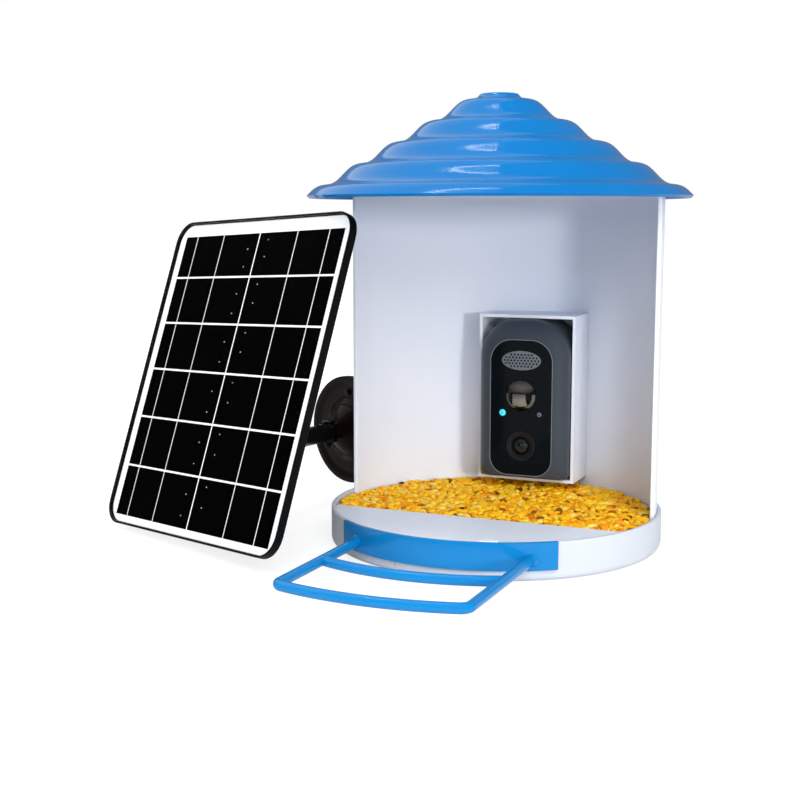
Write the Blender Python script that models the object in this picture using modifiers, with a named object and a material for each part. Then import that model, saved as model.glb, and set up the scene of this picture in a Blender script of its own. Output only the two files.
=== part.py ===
"""Smart bird feeder: a round seed tray with a half-cylinder shell, a tiered roof, a perch frame, a camera in a
pocket, and a solar panel on a jointed side bracket. Metres, +Z up. The origin is the centre of the tray's
underside, and the open front faces -Y."""

import math

import bmesh
import bpy
from mathutils import Matrix, Vector

# Clearances and cutting
GAP = 0.0003
CUT_OVERRUN = 0.002
SLIDE_CLEARANCE = 0.0006

# Roundness of turned and bent pieces, in steps
LARGE_STEPS = 64
ROOF_STEPS = 48
MEDIUM_STEPS = 24
SMALL_STEPS = 12
CORNER_STEPS = 4

# Seed tray
TRAY_RADIUS = 0.101
TRAY_HEIGHT = 0.022
TRAY_WALL = 0.0025
TRAY_FLOOR = 0.0025
TRAY_EDGE_ROUND = 0.004

# Front deck, the white D-shaped ledge before the seeds
DECK_CHORD = 0.037
DECK_TOP = 0.0208
DECK_THICKNESS = 0.002
DECK_RIB_SPACING = 0.07

# Seeds
SEED_EDGE_HEIGHT = 0.0185
SEED_CROWN = 0.002
SEED_CROWN_SHARES = ((1.0, 0.0), (0.82, 0.62), (0.5, 0.92))

# Rear shell
SHELL_WALL = 0.0025
SHELL_FRONT = 0.003
SHELL_TOP = 0.2143
HOOP_WIDTH = 0.004
HOOP_HEIGHT = 0.0028
HOOP_DROP = 0.0005

# Roof
ROOF_OVERHANG = 0.0163
ROOF_EAVE_Z = 0.2098
ROOF_HEIGHT = 0.0592
ROOF_CAP_RADIUS = 0.013
ROOF_CAP_STEP = 0.0022
ROOF_TIER_PITCH = 0.0215
ROOF_TIER_WAVE = 0.0016
ROOF_PHASE_SHARE = 0.214
ROOF_THICKNESS = 0.0022
ROOF_RING_DROP = 0.0035
ROOF_RING_WALL = 0.002
ROOF_SEAT_WIDTH = 0.0045
ROOF_FIT = 0.0005
ROOF_POINTS_PER_TIER = 5

# Perch frame
BAND_HALF_ANGLE = math.radians(39)
BAND_THICKNESS = 0.0022
BAND_BOTTOM = 0.0078
BAND_TOP = 0.0223
PERCH_TUBE_RADIUS = 0.0031
PERCH_Z = 0.0130
PERCH_HALF_WIDTH = 0.052
PERCH_STAND_OUT = 0.0825
PERCH_FRONT_BULGE = 0.008
PERCH_BAR_STAND_OUT = 0.0305
PERCH_BAR_BULGE = 0.011
PERCH_CORNER_RADIUS = 0.0055
PERCH_CORNER_STEPS = 5
PERCH_BAR_STEPS = 10
BAND_SCREW_ANGLE = math.radians(19)
BAND_SCREW_Z = 0.0145
BAND_SCREW_BITE = 0.0014

# Screws
SCREW_HEAD_RADIUS = 0.0028
SCREW_HEAD_HEIGHT = 0.0015
SCREW_SHANK_RADIUS = 0.0012
SCREW_CROWN_SHARE = 0.55
SMALL_HEAD_RADIUS = 0.0019
SMALL_HEAD_HEIGHT = 0.0010
SMALL_SHANK_RADIUS = 0.0009

# Camera unit
CAMERA_WIDTH = 0.060
CAMERA_BOTTOM = 0.0282
CAMERA_HEIGHT = 0.1036
CAMERA_STAND_OFF = 0.0477
HOUSING_DEPTH = 0.0351
HOUSING_WALL = 0.0022
HOUSING_TOP_RADIUS = 0.024
HOUSING_BOTTOM_RADIUS = 0.004
HOUSING_FRONT_ROUND = 0.009
HOUSING_ROUND_STEPS = 4
FACE_SIDE_INSET = 0.009
FACE_TOP_INSET = 0.0125
FACE_BOTTOM_INSET = 0.0024
PLATE_EDGE = 0.0004
PLATE_THICKNESS = 0.0015
PLATE_TOP_RADIUS = 0.0145
PLATE_BOTTOM_RADIUS = 0.0115
PLATE_SEAT = 0.0014
SEAL_THICKNESS = 0.0008
SEAL_INSET = 0.0004
COVER_THICKNESS = 0.0018
BOSS_RADIUS = 0.0030
BOSS_LENGTH = 0.012
BOSS_SIDE_INSET = 0.005
BOSS_LOW_INSET = 0.0055
BOSS_HIGH_INSET = 0.0135
BOSS_HIGH_SIDE_INSET = 0.0075

# Camera face, heights as shares of the camera unit's height
GRILLE_HEIGHT_SHARE = 0.749035
GRILLE_HALF_WIDTH = 0.0131
GRILLE_HALF_HEIGHT = 0.0062
GRILLE_THICKNESS = 0.0009
GRILLE_PROUD = 0.0003
SPEAKER_HALF_WIDTH = 0.0125
SPEAKER_HALF_HEIGHT = 0.0085
SPEAKER_DEPTH = 0.0062
MOTION_HEIGHT_SHARE = 0.530888
MOTION_RADIUS = 0.0092
MOTION_RISE = 0.0048
MOTION_WALL = 0.0009
MOTION_RIM = 0.0012
SENSOR_RADIUS = 0.0045
SENSOR_DEPTH = 0.0065
LENS_HEIGHT_SHARE = 0.210425
LENS_RING_RADIUS = 0.0100
LENS_RING_BORE = 0.0062
LENS_RING_THICKNESS = 0.0012
BARREL_RADIUS = 0.0059
BARREL_LIP = 0.0008
GLASS_RADIUS = 0.0044
GLASS_THICKNESS = 0.0014
GLASS_CROWN = 0.0007
LIGHT_X = 0.0125
LIGHT_HEIGHT_SHARE = 0.416023
LIGHT_RADIUS = 0.0021
LIGHT_PROUD = 0.0002
MICROPHONE_RADIUS = 0.0030
MICROPHONE_DEPTH = 0.0022
MICROPHONE_HOLE_RADIUS = 0.0007

# Inside the camera unit, depths behind its front face
BOARD_DEPTH = 0.0125
BOARD_THICKNESS = 0.0016
CELL_RADIUS = 0.0092
CELL_SPACING = 0.0195
CELL_DEPTH = 0.0240
CELL_LOW_MARGIN = 0.0198
CELL_HIGH_MARGIN = 0.0188
HOLDER_END_WALL = 0.0018
HOLDER_SIDE_WALL = 0.0016

# Charging corner, on the camera unit's back
PORT_Z = 0.0385
SOCKET_WIDTH = 0.0090
SOCKET_HEIGHT = 0.0033
SOCKET_DEPTH = 0.0075
SOCKET_X = -0.006
SOCKET_RIM = 0.0005
FLAP_WIDTH = 0.0150
FLAP_HEIGHT = 0.0080
FLAP_THICKNESS = 0.0012
FLAP_HINGE_RADIUS = 0.0008
BUTTON_X = 0.0085
BUTTON_RADIUS = 0.0028
BUTTON_PROUD = 0.0012
BUTTON_FLANGE = 0.0008
WINDOW_WIDTH = 0.032
WINDOW_BOTTOM = 0.0305
WINDOW_HEIGHT = 0.017

# Camera pocket
POCKET_WALL = 0.002
POCKET_REACH = 0.0367
POCKET_BACK_DEPTH = 0.0072
POCKET_SCREW_ANGLE = math.radians(12)
POCKET_SCREW_BITE = 0.003

# Side bracket, the ear that carries the panel's arm
EAR_ANGLE = math.radians(23.5)
EAR_STAND_OUT = 0.0481
EAR_SET_BACK = 0.0105
EAR_Z = 0.050
EAR_THICKNESS = 0.004
EAR_HALF_HEIGHT = 0.024
EAR_END_RADIUS = 0.024
SADDLE_THICKNESS = 0.003
SADDLE_HALF_ANGLE = math.radians(13)
SADDLE_HALF_HEIGHT = 0.027
SADDLE_SCREW_ANGLE = math.radians(9.5)
GUSSET_LENGTH = 0.024
GUSSET_THICKNESS = 0.0035

# Flange and swivel hub
FLANGE_RADIUS = 0.0375
FLANGE_RIM_HEIGHT = 0.005
FLANGE_RIM_WIDTH = 0.0035
FLANGE_DISH_HEIGHT = 0.0036
FLANGE_DISH_RADIUS = 0.030
FLANGE_SEAT_HEIGHT = 0.0065
FLANGE_SEAT_RADIUS = 0.019
FLANGE_SCREW_CIRCLE = 0.0265
SPINDLE_RADIUS = 0.005
DOME_RADIUS = 0.0173
DOME_HEIGHT = 0.008
TONGUE_RADIUS = 0.0055
TONGUE_HALF_LENGTH = 0.0025
TONGUE_WIDTH = 0.009
DOME_CLEARANCE = 0.0008

# Arm
ARM_RADIUS = 0.0062
ELBOW_EYE_RADIUS = 0.006
ELBOW_EYE_HALF_LENGTH = 0.0045
BOLT_RADIUS = 0.0025
BOLT_HEAD_RADIUS = 0.0046
BOLT_HEAD_HEIGHT = 0.0024
KNOB_RADIUS = 0.0088
KNOB_HEIGHT = 0.0075
KNOB_NECK_RADIUS = 0.0052
KNOB_NECK_HEIGHT = 0.0022
KNOB_LOBES = 5
KNOB_LOBE_DEPTH = 0.0016

# Solar panel
PANEL_ACROSS = 0.0388784
PANEL_RISE = 0.0527
PANEL_AHEAD = 0.1381190
PANEL_YAW = math.radians(25.7)
PANEL_TILT = math.radians(19.9)
PANEL_ROLL = math.radians(2.8)
PANEL_WIDTH = 0.1805
PANEL_HEIGHT = 0.2015
PANEL_CORNER_RADIUS = 0.014
FRAME_WALL = 0.0022
FRAME_LEDGE = 0.004
FRAME_LEDGE_THICKNESS = 0.0016
GLASS_RECESS = 0.0004
PANEL_GLASS_THICKNESS = 0.0016
CELL_SHEET_THICKNESS = 0.0008
BACK_COVER_THICKNESS = 0.0016
PANEL_SCREW_INSET = 0.0042
PANEL_BOSS_DROP = 0.040
PANEL_BOSS_RADIUS = 0.013
PANEL_BOSS_HEIGHT = 0.008
PANEL_BOSS_BORE = 0.0042
PANEL_BOSS_BORE_DEPTH = 0.0065
KNUCKLE_BASE_RADIUS = 0.0115
KNUCKLE_BASE_THICKNESS = 0.003
KNUCKLE_EAR = 0.0032
KNUCKLE_PIN_HEIGHT = 0.0105
JUNCTION_WIDTH = 0.046
JUNCTION_HEIGHT = 0.028
JUNCTION_DEPTH = 0.009
JUNCTION_RISE = 0.034
JUNCTION_ROUND = 0.003
GLAND_RADIUS = 0.0040
GLAND_LENGTH = 0.008
GLAND_BORE = 0.0018
GLAND_BORE_DEPTH = 0.006

# Colours, linear red, green and blue
WHITE = (0.80, 0.81, 0.86)
BLUE = (0.010, 0.215, 0.680)
SLATE = (0.050, 0.061, 0.075)
BLACK = (0.006, 0.007, 0.009)
BROWN_BLACK = (0.020, 0.013, 0.010)
SEED = (0.830, 0.370, 0.020)
GREY = (0.200, 0.205, 0.210)
STEEL = (0.560, 0.570, 0.580)
BOARD_GREEN = (0.010, 0.110, 0.045)
CELL_BLUE = (0.030, 0.110, 0.330)
CYAN = (0.030, 0.790, 0.800)
PANEL_WHITE = (0.780, 0.790, 0.800)

PARTS = bpy.data.collections.new("smart_bird_feeder")
CUTTERS = bpy.data.collections.new("cutters")


def prepare_scene():
    """Removes the scene's objects and adds the two collections."""
    for obj in list(bpy.data.objects):
        bpy.data.objects.remove(obj)
    bpy.context.scene.collection.children.link(PARTS)
    bpy.context.scene.collection.children.link(CUTTERS)


def material(name, colour, roughness=0.4, metallic=0.0):
    """A Principled material of this name, made once."""
    found = bpy.data.materials.get(name)
    if found:
        return found
    made = bpy.data.materials.new(name)
    made.use_nodes = True
    shader = made.node_tree.nodes["Principled BSDF"]
    shader.inputs["Base Color"].default_value = (*colour, 1.0)
    shader.inputs["Roughness"].default_value = roughness
    shader.inputs["Metallic"].default_value = metallic
    made.diffuse_color = (*colour, 1.0)
    return made


def add_object(name, mesh, matrix=None, collection=CUTTERS):
    """Links a mesh as an object. One in the cutters' collection is left out of a render."""
    obj = bpy.data.objects.new(name, mesh)
    collection.objects.link(obj)
    if matrix is not None:
        obj.matrix_world = matrix
    if collection is CUTTERS:
        obj.hide_render = True
        obj.display_type = "WIRE"
    return obj


def mesh_from(name, shape):
    """Turns a bmesh into a mesh."""
    mesh = bpy.data.meshes.new(name)
    shape.to_mesh(mesh)
    shape.free()
    return mesh


def box(name, size, centre=(0, 0, 0), matrix=None):
    """A box of this size about a centre, in the frame that the matrix gives."""
    shape = bmesh.new()
    bmesh.ops.create_cube(shape, size=1.0)
    bmesh.ops.scale(shape, vec=size, verts=shape.verts)
    bmesh.ops.translate(shape, vec=centre, verts=shape.verts)
    return add_object(name, mesh_from(name, shape), matrix or Matrix.Identity(4))


def cylinder(name, radius, low, high, matrix=None, steps=SMALL_STEPS):
    """A cylinder on the frame's Z axis, from low to high."""
    shape = bmesh.new()
    bmesh.ops.create_cone(
        shape, cap_ends=True, segments=steps, radius1=radius, radius2=radius, depth=high - low
    )
    bmesh.ops.translate(shape, vec=(0, 0, (low + high) / 2), verts=shape.verts)
    return add_object(name, mesh_from(name, shape), matrix or Matrix.Identity(4))


def frozen(obj):
    """Replaces an object's curve or modifiers with the mesh that they give."""
    graph = bpy.context.evaluated_depsgraph_get()
    mesh = bpy.data.meshes.new_from_object(obj.evaluated_get(graph))
    shape = bmesh.new()
    shape.from_mesh(mesh)
    bmesh.ops.remove_doubles(shape, verts=shape.verts, dist=GAP / 30)
    shape.to_mesh(mesh)
    shape.free()
    name, matrix = obj.name, obj.matrix_world.copy()
    bpy.data.objects.remove(obj)
    return add_object(name, mesh, matrix)


def turned(name, profile, matrix=None, steps=MEDIUM_STEPS, closed=False):
    """A profile of (radius, height) points turned about the frame's Z axis."""
    count = len(profile)
    edges = [(i, i + 1) for i in range(count - 1)]
    if closed:
        edges.append((count - 1, 0))
    mesh = bpy.data.meshes.new(name)
    mesh.from_pydata([(radius, 0, height) for radius, height in profile], edges, [])
    obj = add_object(name, mesh, matrix or Matrix.Identity(4))
    screw = obj.modifiers.new("Turn", "SCREW")
    screw.steps = screw.render_steps = steps
    screw.use_merge_vertices = True
    screw.merge_threshold = GAP / 30
    return obj


def prism(name, outline, low, high, matrix=None):
    """A flat outline of (x, y) points, filled and extruded from low to high."""
    curve = bpy.data.curves.new(name, "CURVE")
    curve.dimensions = "2D"
    curve.fill_mode = "BOTH"
    curve.extrude = (high - low) / 2
    spline = curve.splines.new("POLY")
    spline.points.add(len(outline) - 1)
    for point, (x, y) in zip(spline.points, outline):
        point.co = (x, y, 0, 1)
    spline.use_cyclic_u = True
    obj = add_object(name, curve, Matrix.Identity(4))
    bpy.context.view_layer.update()
    obj = frozen(obj)
    obj.matrix_world = (matrix or Matrix.Identity(4)) @ Matrix.Translation((0, 0, (low + high) / 2))
    return obj


def tube(name, points, radius, matrix=None, resolution=3):
    """A round bar of this radius along the points."""
    curve = bpy.data.curves.new(name, "CURVE")
    curve.dimensions = "3D"
    curve.bevel_depth = radius
    curve.bevel_resolution = resolution
    curve.use_fill_caps = True
    spline = curve.splines.new("POLY")
    spline.points.add(len(points) - 1)
    for point, place in zip(spline.points, points):
        point.co = (*place, 1)
    obj = add_object(name, curve, matrix or Matrix.Identity(4))
    bpy.context.view_layer.update()
    return frozen(obj)


def loft(name, loops, matrix=None):
    """A closed body through loops of (x, y, z) points that hold the same number of points each."""
    shape = bmesh.new()
    rings = [[shape.verts.new(point) for point in loop] for loop in loops]
    count = len(rings[0])
    for lower, upper in zip(rings, rings[1:]):
        for i in range(count):
            j = (i + 1) % count
            shape.faces.new((lower[i], lower[j], upper[j], upper[i]))
    shape.faces.new(list(reversed(rings[0])))
    shape.faces.new(rings[-1])
    bmesh.ops.recalc_face_normals(shape, faces=shape.faces)
    return add_object(name, mesh_from(name, shape), matrix or Matrix.Identity(4))


def boolean(target, other, operation):
    """Cuts, joins or intersects the target with the other object, which stays hidden."""
    modifier = target.modifiers.new(operation.title(), "BOOLEAN")
    modifier.operation = operation
    modifier.object = other


def cut(target, *cutters):
    for cutter in cutters:
        boolean(target, cutter, "DIFFERENCE")


def join(target, *others):
    for other in others:
        boolean(target, other, "UNION")


def finish(obj, name, look):
    """Makes an object a part: its name, its collection, its material and smooth shading."""
    obj.name = name
    obj.data.name = name
    CUTTERS.objects.unlink(obj)
    PARTS.objects.link(obj)
    obj.hide_render = False
    obj.display_type = "TEXTURED"
    obj.data.materials.clear()
    obj.data.materials.append(look)
    obj.data.shade_smooth()
    obj.data.set_sharp_from_angle(angle=math.radians(35))
    return obj


def pivot(name, matrix, *parts):
    """An empty on a joint's axis, its Z along that axis, that carries the parts that turn or slide on it."""
    empty = bpy.data.objects.new(name, None)
    PARTS.objects.link(empty)
    empty.matrix_world = matrix
    bpy.context.view_layer.update()
    for part in parts:
        part.parent = empty
        part.matrix_parent_inverse = empty.matrix_world.inverted()
    return empty


def arc(centre, radius, start, end, steps):
    """Points on an arc, from one angle to the other, both ends included."""
    angles = [start + (end - start) * i / steps for i in range(steps + 1)]
    return [(centre[0] + radius * math.cos(a), centre[1] + radius * math.sin(a)) for a in angles]


def rounded_outline(half_width, bottom, top, low_radius, high_radius, steps=CORNER_STEPS):
    """A rectangle's outline with one radius on its lower corners and one on its upper corners."""
    quarter = math.pi / 2
    low_x, high_x = half_width - low_radius, half_width - high_radius
    return (
        arc((low_x, bottom + low_radius), low_radius, -quarter, 0, steps)
        + arc((high_x, top - high_radius), high_radius, 0, quarter, steps)
        + arc((-high_x, top - high_radius), high_radius, quarter, 2 * quarter, steps)
        + arc((-low_x, bottom + low_radius), low_radius, 2 * quarter, 3 * quarter, steps)
    )


def rounded_path(points, corners):
    """A path whose listed corners are rounded. Each corner is an index with its radius."""
    path = []
    for i, place in enumerate(points):
        point = Vector(place)
        if i not in corners:
            path.append(point)
            continue
        before = (Vector(points[i - 1]) - point).normalized()
        after = (Vector(points[i + 1]) - point).normalized()
        half = before.angle(after) / 2
        setback = corners[i] / math.tan(half)
        centre = point + (before + after).normalized() * (corners[i] / math.sin(half))
        first, last = point + before * setback, point + after * setback
        for step in range(PERCH_CORNER_STEPS + 1):
            share = step / PERCH_CORNER_STEPS
            spoke = (first - centre).slerp(last - centre, share)
            path.append(centre + spoke.normalized() * corners[i])
    return path


def facing(origin, normal, up=(0, 0, 1)):
    """A frame whose Z is the normal and whose Y is as near to up as it can be."""
    z = Vector(normal).normalized()
    x = Vector(up).cross(z).normalized()
    y = z.cross(x)
    frame = Matrix((x, y, z)).transposed().to_4x4()
    frame.translation = Vector(origin)
    return frame


def outward(angle, radius, height):
    """A frame on the shell, its Z pointing out, at an angle turned from +Y towards -X."""
    normal = Vector((-math.sin(angle), math.cos(angle), 0))
    return facing(normal * radius + Vector((0, 0, height)), normal)


def screw(name, seat, length, small=False, look=None):
    """A dome-headed screw whose head lies on the seat's XY plane and whose shank runs down its -Z."""
    head = SMALL_HEAD_RADIUS if small else SCREW_HEAD_RADIUS
    rise = SMALL_HEAD_HEIGHT if small else SCREW_HEAD_HEIGHT
    shank = SMALL_SHANK_RADIUS if small else SCREW_SHANK_RADIUS
    profile = [
        (0, GAP + rise),
        (head * SCREW_CROWN_SHARE, GAP + rise),
        (head, GAP + rise * SCREW_CROWN_SHARE),
        (head, GAP),
        (shank, GAP),
        (shank, -length),
        (0, -length),
    ]
    return finish(turned(name, profile, seat, SMALL_STEPS), name, look or steel())


def screw_hole(seat, length, small=False):
    """The cutter for a screw's hole, a gap wider and deeper than its shank."""
    shank = SMALL_SHANK_RADIUS if small else SCREW_SHANK_RADIUS
    return cylinder("screw_hole", shank + GAP, -length - GAP, CUT_OVERRUN, seat, SMALL_STEPS)


def steel():
    return material("steel", STEEL, 0.3, 1.0)


def white_plastic():
    return material("white_plastic", WHITE, 0.35)


def blue_plastic():
    return material("blue_plastic", BLUE, 0.22)


def dark_plastic():
    return material("dark_bracket_plastic", BROWN_BLACK, 0.25)


def shell_outer():
    return TRAY_RADIUS - TRAY_WALL - GAP


def shell_inner():
    return shell_outer() - SHELL_WALL


def band_outer():
    return TRAY_RADIUS + GAP + BAND_THICKNESS


def roof_radius():
    return shell_outer() + ROOF_OVERHANG


def camera_front():
    """How far behind the tray's axis the camera unit's face lies."""
    return shell_inner() - CAMERA_STAND_OFF


def pocket_front():
    return shell_inner() - POCKET_REACH


def pocket_back():
    return shell_inner() - POCKET_BACK_DEPTH


def ear_reach():
    """How far from the tray's axis the flange's middle lies, along the ear."""
    return shell_outer() + EAR_STAND_OUT


def face_height(share):
    """A height on the camera's face above the tray's underside."""
    return CAMERA_BOTTOM + CAMERA_HEIGHT * share


def cell_bottom():
    return CAMERA_BOTTOM + CELL_LOW_MARGIN


def cell_length():
    return CAMERA_HEIGHT - CELL_LOW_MARGIN - CELL_HIGH_MARGIN


def build_tray():
    """The round tub: floor, wall and rounded lower edge."""
    inner = TRAY_RADIUS - TRAY_WALL
    edge = arc(
        (TRAY_RADIUS - TRAY_EDGE_ROUND, TRAY_EDGE_ROUND), TRAY_EDGE_ROUND, 0, -math.pi / 2, CORNER_STEPS
    )
    profile = [(0, TRAY_FLOOR), (inner, TRAY_FLOOR), (inner, TRAY_HEIGHT), (TRAY_RADIUS, TRAY_HEIGHT)]
    tray = turned("tray", profile + edge + [(0, 0)], steps=LARGE_STEPS)
    for seat in band_screw_seats():
        cut(tray, screw_hole(seat, TRAY_WALL + CUT_OVERRUN))
    finish(tray, "base_tray", white_plastic())


def band_screw_seats():
    """Frames on the tray wall's inner face, looking inwards, for the screws that hold the perch."""
    inner = TRAY_RADIUS - TRAY_WALL
    seats = []
    for angle in (-BAND_SCREW_ANGLE, BAND_SCREW_ANGLE):
        out = Vector((math.sin(angle), -math.cos(angle), 0))
        seats.append(facing(out * inner + Vector((0, 0, BAND_SCREW_Z)), -out))
    return seats


def build_deck():
    """The D-shaped ledge with its chord wall and two ribs, which stand on the tray's floor."""
    radius = TRAY_RADIUS - TRAY_WALL - GAP
    reach = math.acos(DECK_CHORD / radius)
    outline = arc((0, 0), radius, -math.pi / 2 - reach, -math.pi / 2 + reach, LARGE_STEPS // 2)
    deck = prism("deck", outline, DECK_TOP - DECK_THICKNESS, DECK_TOP)
    foot = TRAY_FLOOR + GAP
    wall_height = DECK_TOP - DECK_THICKNESS / 2 - foot
    middle = foot + wall_height / 2
    half_chord = radius * math.sin(reach)
    wall = box(
        "deck_wall",
        (2 * half_chord - 2 * DECK_THICKNESS, DECK_THICKNESS, wall_height),
        (0, -DECK_CHORD - DECK_THICKNESS, middle),
    )
    rib_length = (radius - DECK_CHORD) / 2
    ribs = [
        box(
            "deck_rib",
            (DECK_THICKNESS, rib_length, wall_height),
            (side * DECK_RIB_SPACING / 2, -DECK_CHORD - DECK_THICKNESS - rib_length / 2, middle),
        )
        for side in (-1, 1)
    ]
    join(deck, wall, *ribs)
    finish(deck, "front_deck", white_plastic())


def build_seeds():
    """The seeds behind the deck, filled to the shell and slightly crowned."""
    wide = TRAY_RADIUS - TRAY_WALL - GAP
    narrow = shell_inner() - GAP
    chord = DECK_CHORD - GAP
    step_y = SHELL_FRONT - GAP
    low, high = math.asin(-chord / wide), math.asin(step_y / wide)
    rear = math.asin(step_y / narrow)
    right = arc((0, 0), wide, low, high, CORNER_STEPS)
    back = arc((0, 0), narrow, rear, math.pi - rear, LARGE_STEPS // 2)
    left = [(-x, y) for x, y in reversed(right)]
    outline = right + back + left
    floor = TRAY_FLOOR + GAP
    loops = [[(x, y, floor) for x, y in outline]]
    for spread, rise in SEED_CROWN_SHARES:
        height = SEED_EDGE_HEIGHT + SEED_CROWN * rise
        loops.append([(x * spread, y * spread, height) for x, y in outline])
    finish(loft("seeds", loops), "seed_bed", material("seeds", SEED, 0.7))


def half_ring(inner, outer, front):
    """The outline of a half ring behind a front line."""
    wide, narrow = math.asin(front / outer), math.asin(front / inner)
    steps = LARGE_STEPS // 2
    return arc((0, 0), outer, wide, math.pi - wide, steps) + arc(
        (0, 0), inner, math.pi - narrow, narrow, steps
    )


def ring_sector(inner, outer, start, end, steps):
    """The outline of a ring's sector."""
    return arc((0, 0), outer, start, end, steps) + arc((0, 0), inner, end, start, steps)


def pocket_screw_seats():
    """Frames on the shell's outside for the pocket's screws."""
    height = CAMERA_BOTTOM + CAMERA_HEIGHT / 2
    return [outward(side * POCKET_SCREW_ANGLE, shell_outer(), height) for side in (-1, 1)]


def saddle_screw_seats():
    """Frames on the saddle's outside for the screws that hold the ear."""
    radius = shell_outer() + GAP + SADDLE_THICKNESS
    return [outward(ear_heading() + side * SADDLE_SCREW_ANGLE, radius, EAR_Z) for side in (-1, 1)]


def build_shell():
    """The half cylinder behind the seeds, with the hoop that carries the roof."""
    shell = prism(
        "shell", half_ring(shell_inner(), shell_outer(), SHELL_FRONT), TRAY_FLOOR + GAP, SHELL_TOP
    )
    top = SHELL_TOP - HOOP_DROP
    outer = shell_inner() + SHELL_WALL / 2
    inner = outer - HOOP_WIDTH
    hoop = turned(
        "hoop",
        [(inner, top), (outer, top), (outer, top - HOOP_HEIGHT), (inner, top - HOOP_HEIGHT)],
        steps=LARGE_STEPS,
        closed=True,
    )
    join(shell, hoop)
    for seat in pocket_screw_seats() + saddle_screw_seats():
        cut(shell, screw_hole(seat, SHELL_WALL + SADDLE_THICKNESS + CUT_OVERRUN))
    window = box(
        "window",
        (WINDOW_WIDTH, TRAY_RADIUS - pocket_front(), WINDOW_HEIGHT),
        (0, TRAY_RADIUS, WINDOW_BOTTOM + WINDOW_HEIGHT / 2),
    )
    cut(shell, window)
    finish(shell, "rear_shell", white_plastic())


def roof_height(radius):
    """The roof's outer height above its eave: a cone with a wave that makes the tiers."""
    fall = (radius - ROOF_CAP_RADIUS) / (roof_radius() - ROOF_CAP_RADIUS)
    return ROOF_HEIGHT * (1 - fall) + roof_wave(radius) - roof_wave(roof_radius())


def roof_wave(radius):
    turns = (radius - ROOF_CAP_RADIUS) / ROOF_TIER_PITCH - ROOF_PHASE_SHARE
    return ROOF_TIER_WAVE * math.sin(2 * math.pi * turns)


def build_roof():
    """The tiered cone, thin, with a ring below that sits on the shell and locates the roof."""
    span = roof_radius() - ROOF_CAP_RADIUS
    count = round(span / ROOF_TIER_PITCH * ROOF_POINTS_PER_TIER)
    cap_z = ROOF_EAVE_Z + roof_height(ROOF_CAP_RADIUS) + ROOF_CAP_STEP
    profile = [(0, cap_z), (ROOF_CAP_RADIUS - ROOF_CAP_STEP / 2, cap_z)]
    for i in range(count + 1):
        radius = ROOF_CAP_RADIUS + span * i / count
        profile.append((radius, ROOF_EAVE_Z + roof_height(radius)))
    roof = turned("roof", profile, steps=ROOF_STEPS)
    thicken = roof.modifiers.new("Thickness", "SOLIDIFY")
    thicken.thickness = ROOF_THICKNESS
    thicken.offset = -1.0
    skirt_inner = shell_outer() + ROOF_FIT
    skirt_outer = skirt_inner + ROOF_RING_WALL
    seat_inner = skirt_inner - ROOF_SEAT_WIDTH
    seat = SHELL_TOP + GAP
    bury = ROOF_THICKNESS / 2
    ring = turned(
        "roof_ring",
        [
            (seat_inner, ROOF_EAVE_Z + roof_height(seat_inner) - 2 * bury),
            (skirt_outer, ROOF_EAVE_Z + roof_height(skirt_outer) - bury),
            (skirt_outer, seat - ROOF_RING_DROP),
            (skirt_inner, seat - ROOF_RING_DROP),
            (skirt_inner, seat),
            (seat_inner, seat),
        ],
        steps=ROOF_STEPS,
        closed=True,
    )
    join(roof, ring)
    finish(roof, "roof", blue_plastic())
    pivot("roof_lift_axis", Matrix.Translation((0, 0, SHELL_TOP)), roof)


def build_perch():
    """The blue band on the tray's front, and the bent hoop with its cross bar that stands out from it."""
    inner = TRAY_RADIUS + GAP
    middle = -math.pi / 2
    outline = ring_sector(
        inner, band_outer(), middle - BAND_HALF_ANGLE, middle + BAND_HALF_ANGLE, LARGE_STEPS // 4
    )
    band = prism("band", outline, BAND_BOTTOM, BAND_TOP)
    for i, seat in enumerate(band_screw_seats()):
        length = TRAY_WALL + GAP + BAND_SCREW_BITE
        cut(band, screw_hole(seat, length))
        screw(f"perch_screw_{i + 1}", seat, length)
    finish(band, "perch_band", blue_plastic())
    side, reach = PERCH_HALF_WIDTH, band_outer() + PERCH_STAND_OUT
    front = bowed(side, -reach, PERCH_FRONT_BULGE)
    root = -band_outer() * math.cos(math.asin(side / band_outer())) + PERCH_TUBE_RADIUS
    path = [(-side, root, PERCH_Z), *front, (side, root, PERCH_Z)]
    corners = {1: PERCH_CORNER_RADIUS, len(path) - 2: PERCH_CORNER_RADIUS}
    frame = tube("frame", rounded_path(path, corners), PERCH_TUBE_RADIUS)
    cross = -band_outer() - PERCH_BAR_STAND_OUT
    bar = tube("bar", bowed(side, cross, PERCH_BAR_BULGE), PERCH_TUBE_RADIUS)
    cut(frame, cylinder("band_face", band_outer() + GAP, 0, TRAY_HEIGHT * 2, steps=4 * LARGE_STEPS))
    join(frame, bar)
    finish(frame, "perch_frame", blue_plastic())


def bowed(half_width, y, bulge):
    """Points of a bar that bows forward by the bulge between its ends."""
    radius = (half_width**2 + bulge**2) / (2 * bulge)
    half = math.asin(half_width / radius)
    down = -math.pi / 2
    flat = arc((0, y - bulge + radius), radius, down - half, down + half, PERCH_BAR_STEPS)
    return [(x, place, PERCH_Z) for x, place in flat]


def camera_frame():
    """The camera unit's frame: X across, Y up from the tray's underside, Z out of its face."""
    return facing((0, camera_front(), 0), (0, -1, 0))


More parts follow.
